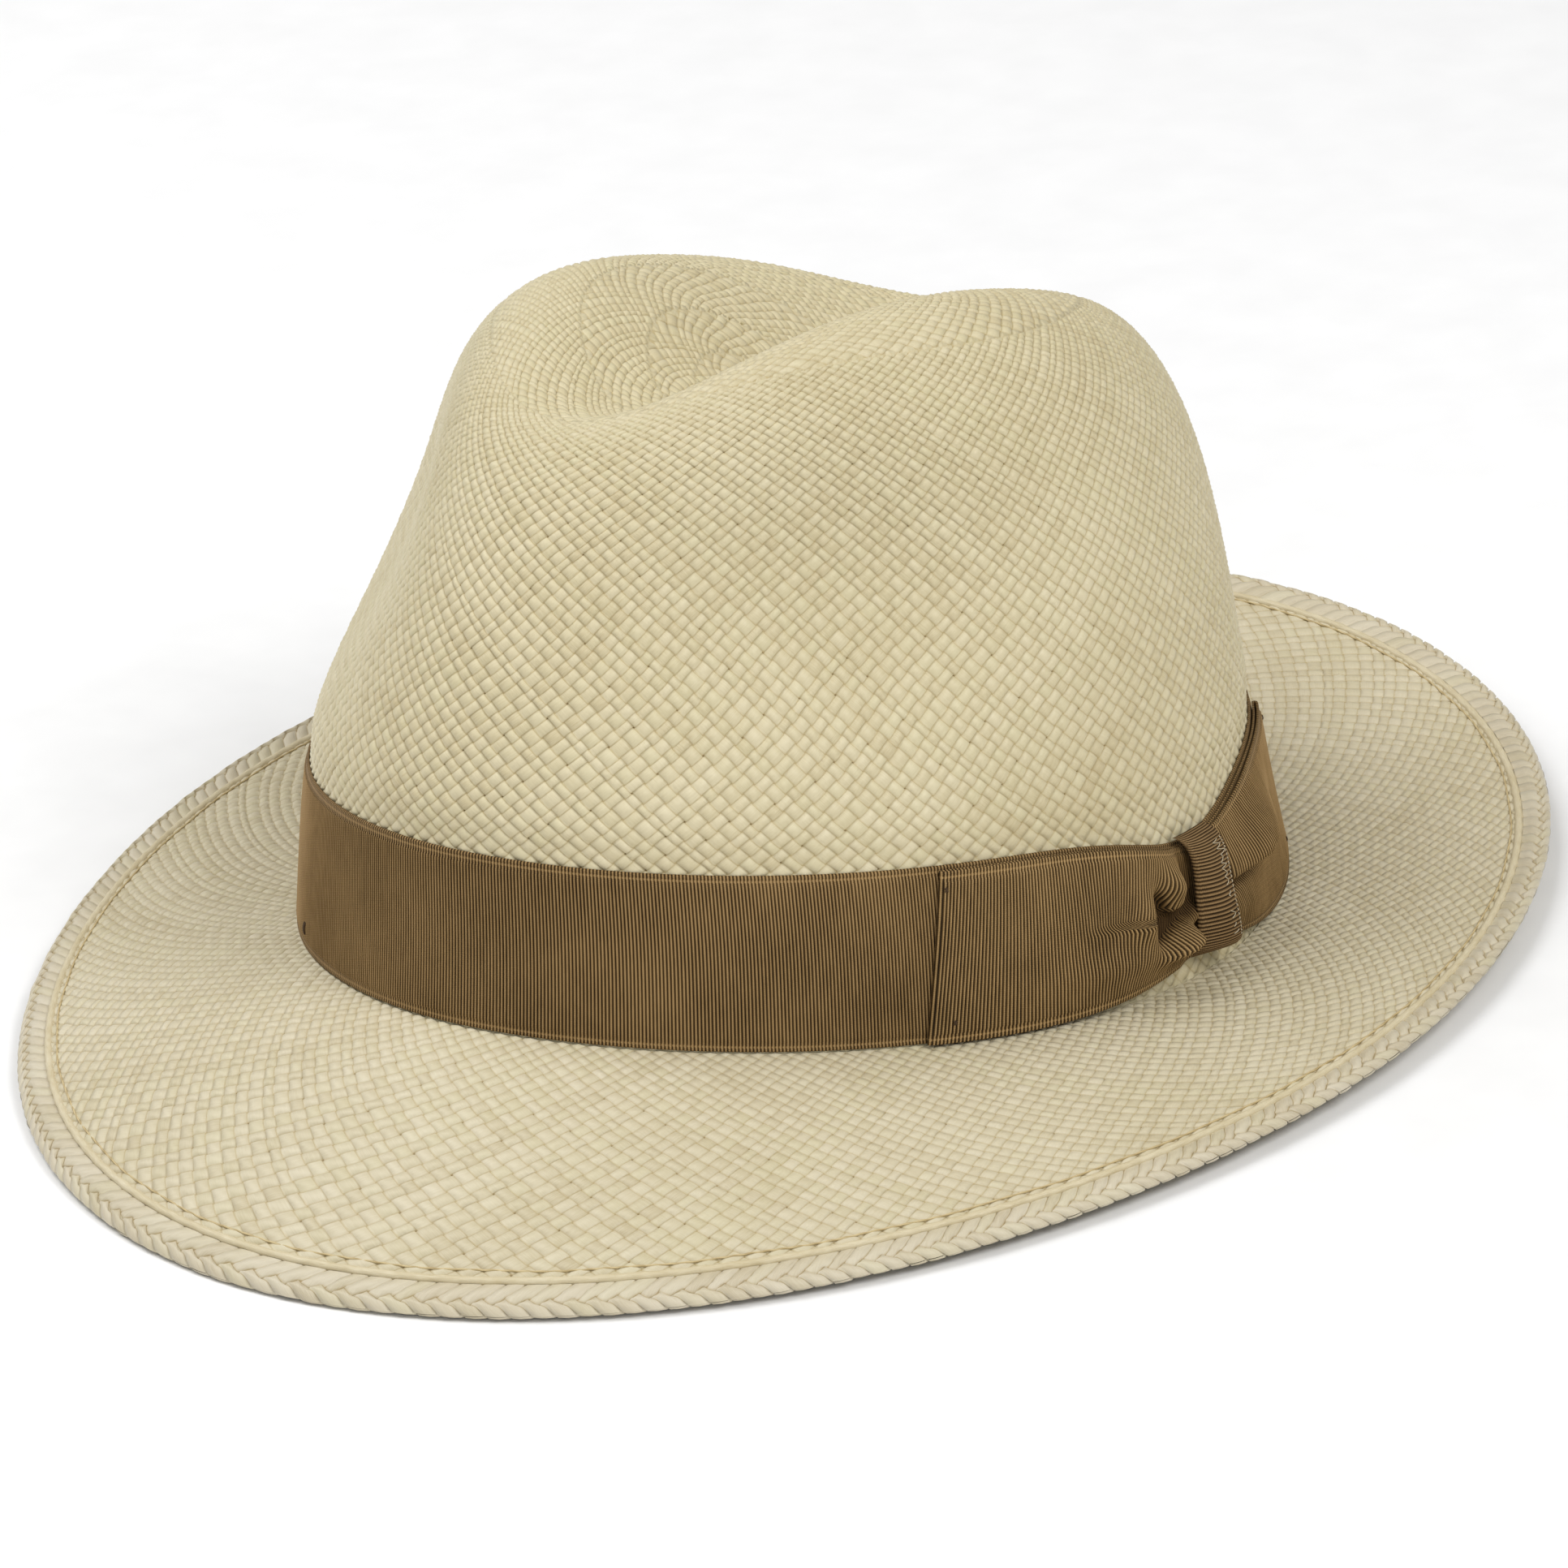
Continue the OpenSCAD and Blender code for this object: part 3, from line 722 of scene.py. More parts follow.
# Mean profile of the block: radius and path length against t.
_t = np.linspace(0, 1, 2001)
_p = math.pi / 2 * _t ** 2 * (3 - 2 * _t)
_zn, _kn = np.sin(_p) ** (2 / SHOULDER), np.cos(_p) ** (2 / SHOULDER)
_kn[-1] = 0
_r = (HALF_L + HALF_W) / 2 * _kn * (1 - TAPER * _zn)
_s = np.concatenate([[0], np.cumsum(np.hypot(np.diff(_r), np.diff(_zn * CROWN_H)))])

CREST = 0.55           # mm, height of a strand's crest over the valleys
MEAN = 0.55            # share of the crest that lies at the straw's nominal face
CELL_ASPECT = 0.77     # a cell's height over its width
UNEVEN = 0.085         # how much the strands differ in width
SEAM_LAP = 0.35        # mm that the rings of weave overlap
# Strands in each ring of the crown, its outer and its inner radius in mm.
RINGS = [(152, 96.0, 60.0), (100, 60.0, 38.0), (64, 38.0, 24.0), (40, 24.0, 14.5),
         (24, 14.5, 8.5), (14, 8.5, 3.0)]


def path_at(radius):
    return np.interp(-radius, -_r, _s) if radius < RINGS[0][1] - 0.1 else 0.0


def crown_parts():
    """Rings of weave. Each is laid twice, as the outer and the inner face of the straw."""
    parts = []
    wave, sway = ring_noise(5, 11), ring_noise(9, 12)
    for k, (n, r0, r1) in enumerate(RINGS):
        ss = np.linspace(path_at(r0), path_at(r1), 200)
        pitch = TAU * np.interp(ss, _s, _r) / n * CELL_ASPECT
        vv = np.concatenate([[0], np.cumsum(np.diff(ss) / (pitch[1:] + pitch[:-1]) * 2)])
        rows = max(1.0, round(vv[-1] * 2) / 2)
        vv *= rows / vv[-1]
        for inside in (False, True):
            w = Weave(n, rows, COARSE if inside else FINE, seed=20 + k,
                      uneven=UNEVEN + 0.04 * (k > 0))
            share = w.u / n
            fade = np.sin(np.pi * np.clip(w.v / rows, 0, 1))
            v = w.v + 0.16 * wave(share) * fade
            share = share + 0.18 / n * sway(share + v * 0.013) * fade
            # rings dive under each other where strands were added
            top, foot = np.isclose(w.v, rows), np.isclose(w.v, 0) & (k > 0)
            w.seam = top | foot
            w.h = np.where(w.seam, -0.2, w.h)
            t = np.interp(np.interp(v, vv, ss) + SEAM_LAP * top - SEAM_LAP * foot, _s, _t)
            a = arc_angle(share)
            P = crown_at(t, a)
            N = -normals(crown_at, np.clip(t, 0.004, 0.996), a, 0.003, 0.012)
            if inside:
                P = P - N * (STRAW + CREST * MEAN * w.h)[:, None]
            else:
                P = P + N * (CREST * (w.h - MEAN))[:, None]
            parts.append((w, seat(P), not inside))
    return parts


def crown_button():
    """The knot of strands that the weaving starts from, closed over the last ring."""
    out = []
    for off, flip in ((CREST * 0.1, True), (-STRAW, False)):
        t = np.interp(np.interp(-np.array([3.3, 2.2, 1.1, 0.05]), -_r, _s), _s, _t)
        T, A = np.meshgrid(t, np.arange(24) / 24 * TAU, indexing="xy")
        P = crown_at(T, A)
        P[..., 2] += off + (0.12 * np.cos(4 * A) * (1 - np.arange(4) / 3) if off > 0 else 0)
        out.append((*plain_faces(seat(P), tone=0.55), not flip))
    return out


def foot_strip(n=280):
    """The straw's cut edge at the foot of the crown."""
    a = arc_angle(np.arange(n) / n)
    h = np.array([0.4, 0.0, -STRAW])
    outer = wall(a[:, None], np.maximum(h, 0)[None], 0.0)
    outer[..., 2] += np.minimum(h, 0)[None]
    inner = wall(a[:, None], np.maximum(h[::-1], 0)[None], -STRAW)
    inner[..., 2] += np.minimum(h[::-1], 0)[None]
    return (*plain_faces(seat(np.concatenate([outer, inner], 1))), False)


straw_crown = weave_object("straw_crown_weave", crown_parts() + crown_button() + [foot_strip()],
                           STRAW_MAT)
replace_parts(straw_crown, "straw_crown")

# ---------------------------------------------------------------- brim
BRIM_N, BRIM_PITCH, BRIM_CREST = 204, 2.9, 0.42     # strands, mm per row, mm
INNER_W = GAP - NIP
OUTER_IN = BORDER_W + TWIST_R + GAP        # the weave runs on under the ridge


def brim_face(a, f):
    """The middle of the woven brim, f from the crown (0) to the ridge (1)."""
    return brim_at(a, INNER_W + (brim_w(a) - OUTER_IN - INNER_W) * f)


def brim_parts():
    """The upper and the lower face of the brim, and the strips that join them."""
    parts = []
    rows = round((0.5 * (BRIM_F + BRIM_S) - OUTER_IN - INNER_W) / BRIM_PITCH * 2) / 2
    wave, sway = ring_noise(6, 31), ring_noise(8, 32)
    for below in (False, True):
        w = Weave(BRIM_N, rows, MEDIUM if below else FINE, seed=60)
        share = w.u / BRIM_N
        f = np.clip(w.v / rows, 0, 1)
        fade = np.sin(np.pi * f)
        f = np.clip(f + 0.012 * wave(share) * fade, 0, 1)
        a = arc_angle(share + 0.0010 * sway(share) * fade)
        N = normals(brim_face, a, f, 0.012, 0.01)
        N *= np.sign(N[:, 2:3])
        lift = (STRAW / 2 + BRIM_CREST * (w.h - MEAN))[:, None]
        P = brim_face(a, f) + (-N if below else N) * lift
        parts.append((w, seat(P), below))
    n = 320
    for f, flip in ((0.0, True), (1.0, False)):
        mid = brim_face(arc_angle(np.arange(n) / n), f)
        edge = np.stack([mid - [0, 0, STRAW / 2], mid + [0, 0, STRAW / 2]], 1)
        parts.append((*plain_faces(seat(edge)), flip))
    return parts


straw_brim = weave_object("straw_brim_weave", brim_parts(), BRIM_MAT)
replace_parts(straw_brim, "straw_brim")


# ---------------------------------------------------------------- back-woven border
BORDER_N = 250                     # strands round the rim
HALF_T = BORDER_T / 2
ARC = math.pi * HALF_T             # length of the turn round the rim
ZIG_TOP, ZIG_BELOW = -0.35, ARC + 1.6
ZIGZAG = {ZIG_TOP: 0.70, ZIG_BELOW: 0.5}      # mm, depth of the zigzags where rows meet
STRAND_H, UNDER = 0.54, 0.30       # mm, height of a strand, depth of the layer beneath
# Start and end across the border, slant in strands, place of the first strand's edge.
BORDER_ROWS = [(-BORDER_W + HALF_T - 0.3, ZIG_TOP, -0.90, 0.0), (ZIG_TOP, 1.7, 0.75, 0.5),
               (1.7, ZIG_BELOW, 0.65, 0.1), (ZIG_BELOW, ARC + BORDER_W - HALF_T, -0.8, 0.5)]


def border_section(x):
    """Across the border: x below 0 is on top, past ARC underneath. Place, then its normal."""
    turn = np.clip(x, 0, ARC) / HALF_T
    w = np.where(x < 0, x, np.where(x < ARC, np.sin(turn) * HALF_T, ARC - x))
    z = np.cos(turn) * HALF_T * (0.52 + 0.48 * smooth((w + BORDER_W - HALF_T) / 1.8))
    return w - HALF_T, z, np.sin(turn), np.cos(turn)


def border_object():
    """Two rows of slanted strands above and below that meet in zigzags, wrapped round the rim."""
    n = BORDER_N
    V, F, UV, AT, DP, base = [], [], [], [], [], 0
    frac, across = np.array([0.0, 0.09, 0.5, 0.91]), np.array([0.0, 0.86, 1.0, 0.86])
    r = np.random.default_rng(5)
    tone, wide = r.uniform(0, 1, (8, n)), r.normal(0, 0.07, (8, n))
    puff = r.normal(0.0, 0.05, (8, n))
    s, c = np.arange(n * 4) // 4, np.arange(n * 4) % 4
    for k, (x0, x1, slant, phase) in enumerate(BORDER_ROWS):
        m = 9 if k == 1 else 7
        y = np.linspace(0, 1, m)
        # a row's ends are low, except at the rim, where the second and third row run on
        end = np.clip(np.minimum(y, 1 - y) * 6, 0, 1) ** 0.6
        if k == 0:
            end[:2] = (0.55, 0.95)
        if k == 1:
            end[-2:] = 1
        if k == 2:
            end[:2] = 1
        strand = s + frac[c]
        if k in (0, 3):
            strand = strand + wide[k][s] * (1 - frac[c]) + wide[k][(s + 1) % n] * frac[c]
        run = strand[:, None] + slant * y[None] + phase
        if k == 0:
            run = run - slant
        if k == 2:
            run = run + BORDER_ROWS[1][2] + BORDER_ROWS[1][3] - phase
        tri = 4 * np.abs(run - np.floor(run) - 0.5) - 1
        z0, z1 = ZIGZAG.get(x0, 0), ZIGZAG.get(x1, 0)
        x = x0 + (x1 - x0) * y[None] - z0 * tri * (1 - y[None]) ** 2 - z1 * tri * y[None] ** 2
        a = arc_angle(run / n)
        w, z, nx, nz = border_section(x)
        tall = STRAND_H + puff[k][s][:, None]
        h = tall * across[c][:, None] * end[None] - 0.26 - 0.24 * np.clip(-nz, 0, 1)
        P = brim_at(a, brim_w(a) + w + nx * h, z + nz * h)
        q, i, j = ring_quads(n * 4, m)
        fr = np.append(frac, 1.0)
        fa, fb = fr[i % 4], fr[i % 4 + 1]
        ya, yb = y[j] * 2, y[j + 1] * 2
        uv = np.stack([ya, fa, ya, fb, yb, fb, yb, fa], -1)
        kk = 1 if k == 2 else k
        i = i // 4
        at = corner_color(tone[kk][i], tone[(kk + 3) % 8][i], tone[(kk + 5) % 8][i] ** 3)
        # painted shade: the strands' edges and the ends of each row get a low depth and come out darker
        painted_shade_depth = (across[c][:, None] * end[None] * 0.8 + 0.2).ravel()
        V.append(seat(P).reshape(-1, 3))
        F.append(q + base)
        UV.append(uv.reshape(-1, 2))
        AT.append(np.repeat(at, 4, 0))
        DP.append(corner_color(painted_shade_depth[q]).reshape(-1, 4))
        base += n * 4 * m
    # a plain layer just under the strands, so nothing shows between them
    a = arc_angle(np.arange(400) / 400)[:, None]
    ends = BORDER_ROWS[0][0] - 0.3, BORDER_ROWS[-1][1] + 0.3
    w, z, nx, nz = border_section(np.linspace(*ends, 26)[None])
    layer, points = plain_faces(seat(brim_at(a, brim_w(a) + w - UNDER * nx, z - UNDER * nz)))
    V.append(points)
    F.append(layer.faces[0] + base)
    UV.append(layer.uv[0].reshape(-1, 2))
    AT.append(layer.attr[0].reshape(-1, 4))
    # the layer beneath gets a middling depth, so it is painted a little darker as shade
    DP.append(layer.attr[0].reshape(-1, 4))
    return new_object("brim_border_weave", np.concatenate(V), F, BORDER_MAT,
                      np.concatenate(UV), {"strand": np.concatenate(AT),
                                           "depth": np.concatenate(DP)})


border = border_object()
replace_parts(border, "brim_border")


def ridge_object():
    """Two straws twisted round each other, just inside the border."""
    n, twists = 1800, 170
    share = np.arange(n) / n
    a = arc_angle(share)
    path = brim_at(a, brim_w(a) - BORDER_W - TWIST_R - GAP, 0.38)
    P = tube_points(path, TWIST_R * 1.06, 12, turn=share * TAU * twists / 2, lobes=2, lobe=0.06)
    g = Grid().add(seat(P), U=(share * twists)[:, None], wrap_u=True, wrap_v=True, flip=True)
    return g.build("brim_ridge_twist", RIDGE_MAT, "straw_border")


ridge = ridge_object()
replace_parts(ridge, "brim_ridge")


def thread_ring():
    """The line of thread along the ridge. It wanders a little, and it dips between strands."""
    n = 1400
    share = np.arange(n) / n
    a = arc_angle(share)
    w = brim_w(a) - BORDER_W - 2 * TWIST_R - 3 * GAP - THREAD_R
    path = brim_at(a, w + 0.10 * np.sin(a * 37),
                   STRAW / 2 + THREAD_R * 0.6 + 0.05 * np.sin(a * 310))
    P = tube_points(path, THREAD_R, 8)
    g = Grid().add(seat(P), U=share[:, None], wrap_u=True, wrap_v=True, flip=True)
    return g.build("ridge_thread_twine", TWINE, "edge_thread")


thread = thread_ring()
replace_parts(thread, "ridge_thread")


# ---------------------------------------------------------------- ribbon
RIB, RIB_H = 0.66, 0.32      # mm from rib to rib, and a rib's height
RIB_WAVE = np.array([0.0, 0.80, 1.0, 0.80])
# Places across the ribbon's woven edge, in mm from its side.
EDGE = np.array([0.0, 0.12, 0.45, 0.8, 1.05, 1.35, 1.65, 2.0])
FLAT_FROM = 2.6


def across_ribbon(height, count):
    """Places across a ribbon, with the strength of its ribs and the bead along both edges."""
    flat = np.linspace(FLAT_FROM, height - FLAT_FROM, count)
    h = np.concatenate([EDGE, flat, height - EDGE[::-1]])
    d = np.minimum(h, height - h)
    bead = 0.15 * (bell((d - 0.45) / 0.34) + 0.8 * bell((d - 1.35) / 0.30))
    return h, smooth((d - 1.5) / 0.5), bead


def band_object():
    """The ribbon round the crown, one closed ring."""
    n = int(round(_arc[-1] / RIB)) * 4
    share = np.arange(n) / n
    a = arc_angle(share)
    c = np.arange(n) % 4
    height = BAND_H - GAP
    h, strength, bead = across_ribbon(height, 9)
    slack = ring_noise(7, 3)(share)[:, None] * 0.05
    picot = (c == 0)[:, None] * (h < 0.2)[None] * 0.12
    off = GAP + RIBBON - RIB_H + bead[None] + RIB_H * RIB_WAVE[c][:, None] * strength[None] \
        + slack * np.sin(np.pi * h / height)[None]
    off = off - 0.22 * ((h < 0.05) | (h > height - 0.05))[None]
    low, high = band_low(a)[:, None], band_high(a)[:, None]
    outer = wall(a[:, None], low + (high - low) * h[None] / height + picot, off)
    hb = h[::-1][::3]
    inner = wall(a[:, None], low + (high - low) * hb[None] / height, GAP * 0.8)
    P = np.concatenate([outer, inner], 1)
    V = np.broadcast_to(np.concatenate([h, hb])[None], P.shape[:2])
    g = Grid().add(seat(P), U=(np.arange(n) / 4)[:, None], V=V, wrap_u=True, wrap_v=True)
    return g.build("hat_band_ribbon", BAND_MAT, "grosgrain")


band = band_object()
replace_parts(band, "hat_band")


# ---------------------------------------------------------------- bow
PUFF, LOW_PUFF = 3.4, 1.05      # mm that a wing stands out beside the knot, and at its free end
THICK = 0.4                     # mm, one layer of ribbon
WING_BED = NIP + 0.12           # where a wing's inner layer lies
DEG_MM = 1.62                   # mm along the crown's side in one degree, at the bow


def wing_fold(f, v, rear):
    """Folds of a wing where the knot gathers it, in mm. f is 1 at the knot, v 1 at the top."""
    g = 1 - f
    if rear:
        # the upper part bulges over a crease that climbs away from the knot
        near = smooth((f - 0.25) / 0.42) * (1 - 0.65 * smooth((f - 0.68) / 0.24))
        d = 5.2 * near * smooth((1 - v) / 0.42) * smooth((v - (0.42 + 0.25 * g)) / 0.08)
        d -= 4.2 * smooth((f - 0.35) / 0.3) * bell((v - (0.40 + 0.25 * g)) / 0.055)
        d += 0.9 * bell((v - 0.20) / 0.12) * smooth((f - 0.55) / 0.3)
        return d
    # a crease that climbs to the knot, with a roll under it
    d = -8.0 * bell((v - (0.555 - 0.97 * g)) / 0.060) * smooth((f - 0.76) / 0.06)
    d += 5.2 * bell((v - (0.41 - 0.97 * g)) / 0.062) * smooth((f - 0.74) / 0.12)
    d -= 1.3 * bell((v - (0.22 - 0.5 * g)) / 0.05) * smooth((f - 0.84) / 0.12)
    # a pocket that drops into it, and the bulges on both sides of the pocket
    d -= 5.5 * bell((f - (0.80 + 0.05 * (0.5 - v))) / 0.034) * bell((v - 0.50) / 0.16)
    d += 1.8 * bell((f - 0.725) / 0.05) * bell((v - 0.52) / 0.18)
    d += 2.2 * bell((f - 0.87) / 0.045) * bell((v - 0.74) / 0.13)
    d += 0.8 * bell((v - (0.20 + 0.1 * g)) / 0.10) * bell((f - 0.66) / 0.22)
    return d


def wing_share(x, v, rear):
    """Where each rib runs: its share of the wing's length, from even steps x."""
    lean = 0.030 if rear else 0.055
    f = x + lean * np.sin(np.pi * x) * x * (0.75 - v) * 1.7
    if rear:
        sweep = 1.3 * (v - 0.5)
    else:
        # above the crease the ribs sweep to the knot, and below it they swing round the roll
        step = smooth((v - 0.47) / 0.07)
        sweep = (4.2 * (v - 0.22)) * (1 - step) + (2.2 * (v - 0.56) / 0.44 - 1) * step
    f = f + 0.042 * sweep * smooth((x - 0.45) / 0.35) * np.minimum((1 - x) / 0.25, 1)
    return np.clip(f, 0, 1)


def wing_body(f, v, rear):
    """How far a wing's outer layer stands out, and how deep it sags in its folds, which sets the shade
    painted there.
    """
    swell = (0.43 if rear else 1) * PUFF * f ** 1.7 * np.sin(np.radians(9 + 162 * v)) ** 0.6
    puff = LOW_PUFF + swell
    fade = smooth(np.minimum(v, 1 - v) / 0.05)
    ripple = 0.22 * np.sin(TAU * (f * 1.7 + 0.2 * v)) * f
    body = WING_BED + puff + wing_fold(f, v, rear) * fade + ripple
    # under the knot it is pressed flat, and no fold cuts into the layer below
    tuck = 1 - 0.72 * smooth((f - 0.885) / 0.065)
    least = WING_BED + 0.95
    body = least + tuck * np.logaddexp(0, (body - least) * 6) / 6
    # painted shade: along the rear wing's crease, and in the front wing's folds as deep as they sag
    if rear:
        painted_fold_shade = 0.75 * bell((v - (0.39 + 0.25 * (1 - f))) / 0.06) * smooth((f - 0.45) / 0.3)
    else:
        painted_fold_shade = np.clip((WING_BED + puff - body) / 2.3, 0, 1)
    return body, painted_fold_shade


def wing_object(name, free, knot, slant, rear):
    """A loop of ribbon: an outer layer with ribs and folds, and a flat layer under it."""
    length = abs(knot - free) * DEG_MM
    n = int(length / RIB * 1.04) * 4 + 1
    turn_n, back_n = 7, 60
    h, strength, bead = across_ribbon(WING_H, 30)
    m = len(h)
    v = (h / WING_H)[None]
    x = np.linspace(1, 0, n)[:, None]
    f = wing_share(x, v, rear)
    body, painted_fold_shade = wing_body(f, v, rear)
    ribs = RIB_H * 1.1 * strength[None]
    outside = body + bead[None] * 0.8 + ribs * RIB_WAVE[np.arange(n)[::-1] % 4][:, None]
    inside = np.maximum(body - THICK, WING_BED + THICK + 0.1)
    # the fold at the free edge, then the layer underneath
    R = (body[-1] - WING_BED)[None] / 2
    th = np.linspace(0, np.pi, turn_n + 2)[1:-1, None]
    back = np.linspace(0, 1, back_n)[:, None] + 0 * v
    turn_rib = ribs * RIB_WAVE[np.arange(turn_n) % 4][:, None]
    OUT = np.concatenate([outside,
                          WING_BED + R * (1 + np.cos(th)) + 0.8 * bead[None] + turn_rib * np.cos(th),
                          np.full(back.shape, WING_BED)])
    IN = np.concatenate([inside, WING_BED + R + (R - THICK) * np.cos(th),
                         np.full(back.shape, WING_BED + THICK)])
    F = np.concatenate([f, 0 * th + 0 * v, back])
    base = np.radians(free + (knot - free) * F)
    low, high = band_low(base) + 0.25, band_high(base) - 0.6
    side = 1 if knot > free else -1
    layers = []
    for radius, off in ((R, OUT), (R - THICK, IN)):
        push = np.concatenate([0 * f, -np.sin(th) * radius / (DEG_MM + 0.06), 0 * back])
        a = np.radians(free + (knot - free) * F + slant * (v - 0.5) * (1 - F) + side * push)
        layers.append(wall(a, low + (high - low) * v, off))
    outer, inner = layers
    P = np.concatenate([outer, inner[:, ::-1]], 1)
    count = n + turn_n
    along = np.concatenate([np.arange(count) / 4.0, count / 4.0 + back[:, 0] * length / RIB])
    D = np.ones(P.shape[:2])
    # D paints shade into the outer layer's folds
    D[:n, :m] = 1 - 0.7 * painted_fold_shade
    g = Grid().add(seat(P), U=along[:, None], D=D, wrap_v=True, flip=not rear,
                   V=np.broadcast_to(np.concatenate([h, h[::-1]])[None], P.shape[:2]))
    for e, flip in ((0, not rear), (-1, rear)):
        cap = np.stack([outer[e], inner[e]], 0)
        g.add(seat(cap), U=np.array([[0.5], [1.0]]), V=np.broadcast_to(h[None], (2, m)), flip=flip)
    return g.build(name, WING_MAT, "grosgrain"), 2 * length + 2


UNDER_KNOT = HALF_KNOT * 0.55      # degrees that the wings reach under the knot
front_wing, wing_len = wing_object("bow_front_wing_ribbon", WING_START, KNOT - UNDER_KNOT, 2.6, False)
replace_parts(front_wing, "bow_front_wing")
rear_wing, rear_len = wing_object("bow_rear_wing_ribbon", WING_END, KNOT + UNDER_KNOT, -2.6, True)
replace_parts(rear_wing, "bow_rear_wing")


KNOT_OVER, KNOT_RIB = 32.0, 0.74      # mm over the knot, and from rib to rib
KNOT_SHARE = 0.88                     # the knot as drawn is a little narrower than its solid


def knot_at(y, v, up=0.0):
    """A point on the knot's outer face: y runs -1 to 1 across it, v from its lower end to its upper."""
    y, v, up = np.broadcast_arrays(y, v, up)
    t = (0.5 - 0.5 * np.cos(np.pi * v)) ** 0.92
    lift = 0.5 + 4.4 * np.clip(1 - np.abs(2 * t - 1) ** 5, 0, 1) ** 0.5
    wide = HALF_KNOT * KNOT_SHARE * (0.97 - 0.10 * np.sin(np.pi * v) + 0.06 * np.cos(5 * v))
    a = np.radians(KNOT + wide * y + 1.1 * (0.5 - v) + 0.12 * v)
    # it is crowned across, and it leans forward more at its lower end
    face = 0.7 * (1 - y ** 2) + 0.18 * np.sin(3.1 * y + 4 * v) + (0.3 + 1.5 * (1 - v)) * y
    off = NIP + GAP + lift + (face + up) * np.minimum(lift / 3, 1)
    return a, KNOT_LOW + (KNOT_HIGH - KNOT_LOW) * t, off


def knot_object():
    """The knot is one arched length of ribbon, and its ribs run across it."""
    n = int(KNOT_OVER / KNOT_RIB) * 4 + 1
    v = np.linspace(0, 1, n)[:, None]
    half = 0.5 * KNOT_W * KNOT_SHARE
    y = np.array([-1, -0.985, -0.95, -0.90, -0.84, -0.78, -0.6, -0.4, -0.2, 0, 0.2, 0.4, 0.6,
                  0.78, 0.84, 0.90, 0.95, 0.985, 1.0])[None]
    d = (1 - np.abs(y)) * half
    bead = 0.22 * bell((d - 0.5) / 0.35)
    round_off = 0.35 * (1 - np.sqrt(np.clip(1 - (1 - np.clip(d / 0.4, 0, 1)) ** 2, 0, 1)))
    ribs = RIB_H * 1.2 * RIB_WAVE[np.arange(n) % 4][:, None] * smooth((d - 0.7) / 0.5)
    a, h, off = knot_at(y, v, bead - round_off + ribs)
    _, _, under = knot_at(y, v, -0.75)
    outer = wall(a, h, off)
    inner = wall(a, h, np.maximum(under, NIP + 0.15))
    P = np.concatenate([outer, inner[:, ::-1]], 1)
    yy = np.concatenate([y[0], y[0][::-1]]) * half
    g = Grid().add(seat(P), U=(np.arange(n) / 4)[:, None], wrap_v=True, flip=True,
                   V=np.broadcast_to(yy[None], P.shape[:2]))
    for e, flip in ((0, True), (-1, False)):
        cap = np.stack([outer[e], inner[e]], 0)
        g.add(seat(cap), V=np.broadcast_to(y * half, (2, y.shape[1])), flip=flip)
    return g.build("bow_knot_ribbon", KNOT_MAT, "grosgrain")


knot = knot_object()
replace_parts(knot, "bow_knot")


# ---------------------------------------------------------------- stitches on the ribbon
def stitch_path(points, n=14):
    """n even steps along a few points."""
    pts = np.asarray(points, float)
    t, k = np.linspace(0, len(pts) - 1, n), np.arange(len(pts))
    return np.stack([np.interp(t, k, pts[:, c]) for c in range(3)], -1)


ARCH = (-1, -0.5, 0, 0.5, 1)      # places along a stitch that arches over the ribbon


def tacks():
    """Three short stitches at each free corner of the wings."""
    g = Grid()
    for a0 in (WING_START + 1.3, WING_END - 1.3):
        for v in (0.11, 0.91):
            h = 1 + (BAND_H - 2) * v
            for da, dh in ((-0.22, 0.8), (0.22, 0.8), (0.0, 1.0)):
                pts = [wall(rad(a0 - da * t), h - dh / 2 * t,
                            NIP + GAP + 1.30 + 0.16 * (1 - t * t)) for t in ARCH]
                capped_tube(g, stitch_path(pts), 0.10)
    return g.build("wing_tack_stitches", DARK_THREAD, "ribbon_thread")


tack = tacks()
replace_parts(tack, "wing_tacks")


TACK_AT, TACK_H = -35, 4.3      # degrees from the front, mm over the fold


def band_tack_object():
    """The stitch that holds the ribbon down on the wearer's right."""
    g = Grid()
    for da in (-0.25, 0.2):
        pts = [wall(rad(TACK_AT + da), TACK_H + 1.2 * t, NIP + 0.05 + 0.25 * (1 - t * t))
               for t in ARCH]
        capped_tube(g, stitch_path(pts), 0.17)
    return g.build("band_tack_stitch", DARK_THREAD, "ribbon_thread")


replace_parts(band_tack_object(), "band_tack")


def knot_thread():
    """Loose zigzag stitches down the knot, and a chain of short ones beside them."""
    g = Grid()
    r = np.random.default_rng(9)

    def on_knot(y, v, up=0.0):
        return wall(*knot_at(y, v, 0.42 + up))

    last = None
    for k in range(26):
        v = 0.24 + k * 0.0235 + r.normal(0, 0.005)
        y = 0.40 + (0.13 if k % 2 else -0.13) + r.normal(0, 0.09)
        if last is not None and r.uniform() < 0.8:
            path = [on_knot(*last), on_knot((last[0] + y) / 2, (last[1] + v) / 2, 0.12),
                    on_knot(y, v)]
            capped_tube(g, stitch_path(path, 9), 0.075)
        last = y, v
    for k in range(24):
        v = 0.20 + k * 0.0265
        capped_tube(g, stitch_path([on_knot(0.76, v, -0.1), on_knot(0.75, v + 0.009, 0.05),
                                    on_knot(0.77, v + 0.018, -0.1)], 7), 0.09)
    return g.build("knot_zigzag_stitches", PALE_THREAD, "ribbon_thread")


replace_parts(knot_thread(), "knot_stitches")

# ---------------------------------------------------------------- sweatband
SWEAT_OFF = -(STRAW + GAP)      # mm, the leather's outer face
STITCH_H = 5.5                   # mm over the fold


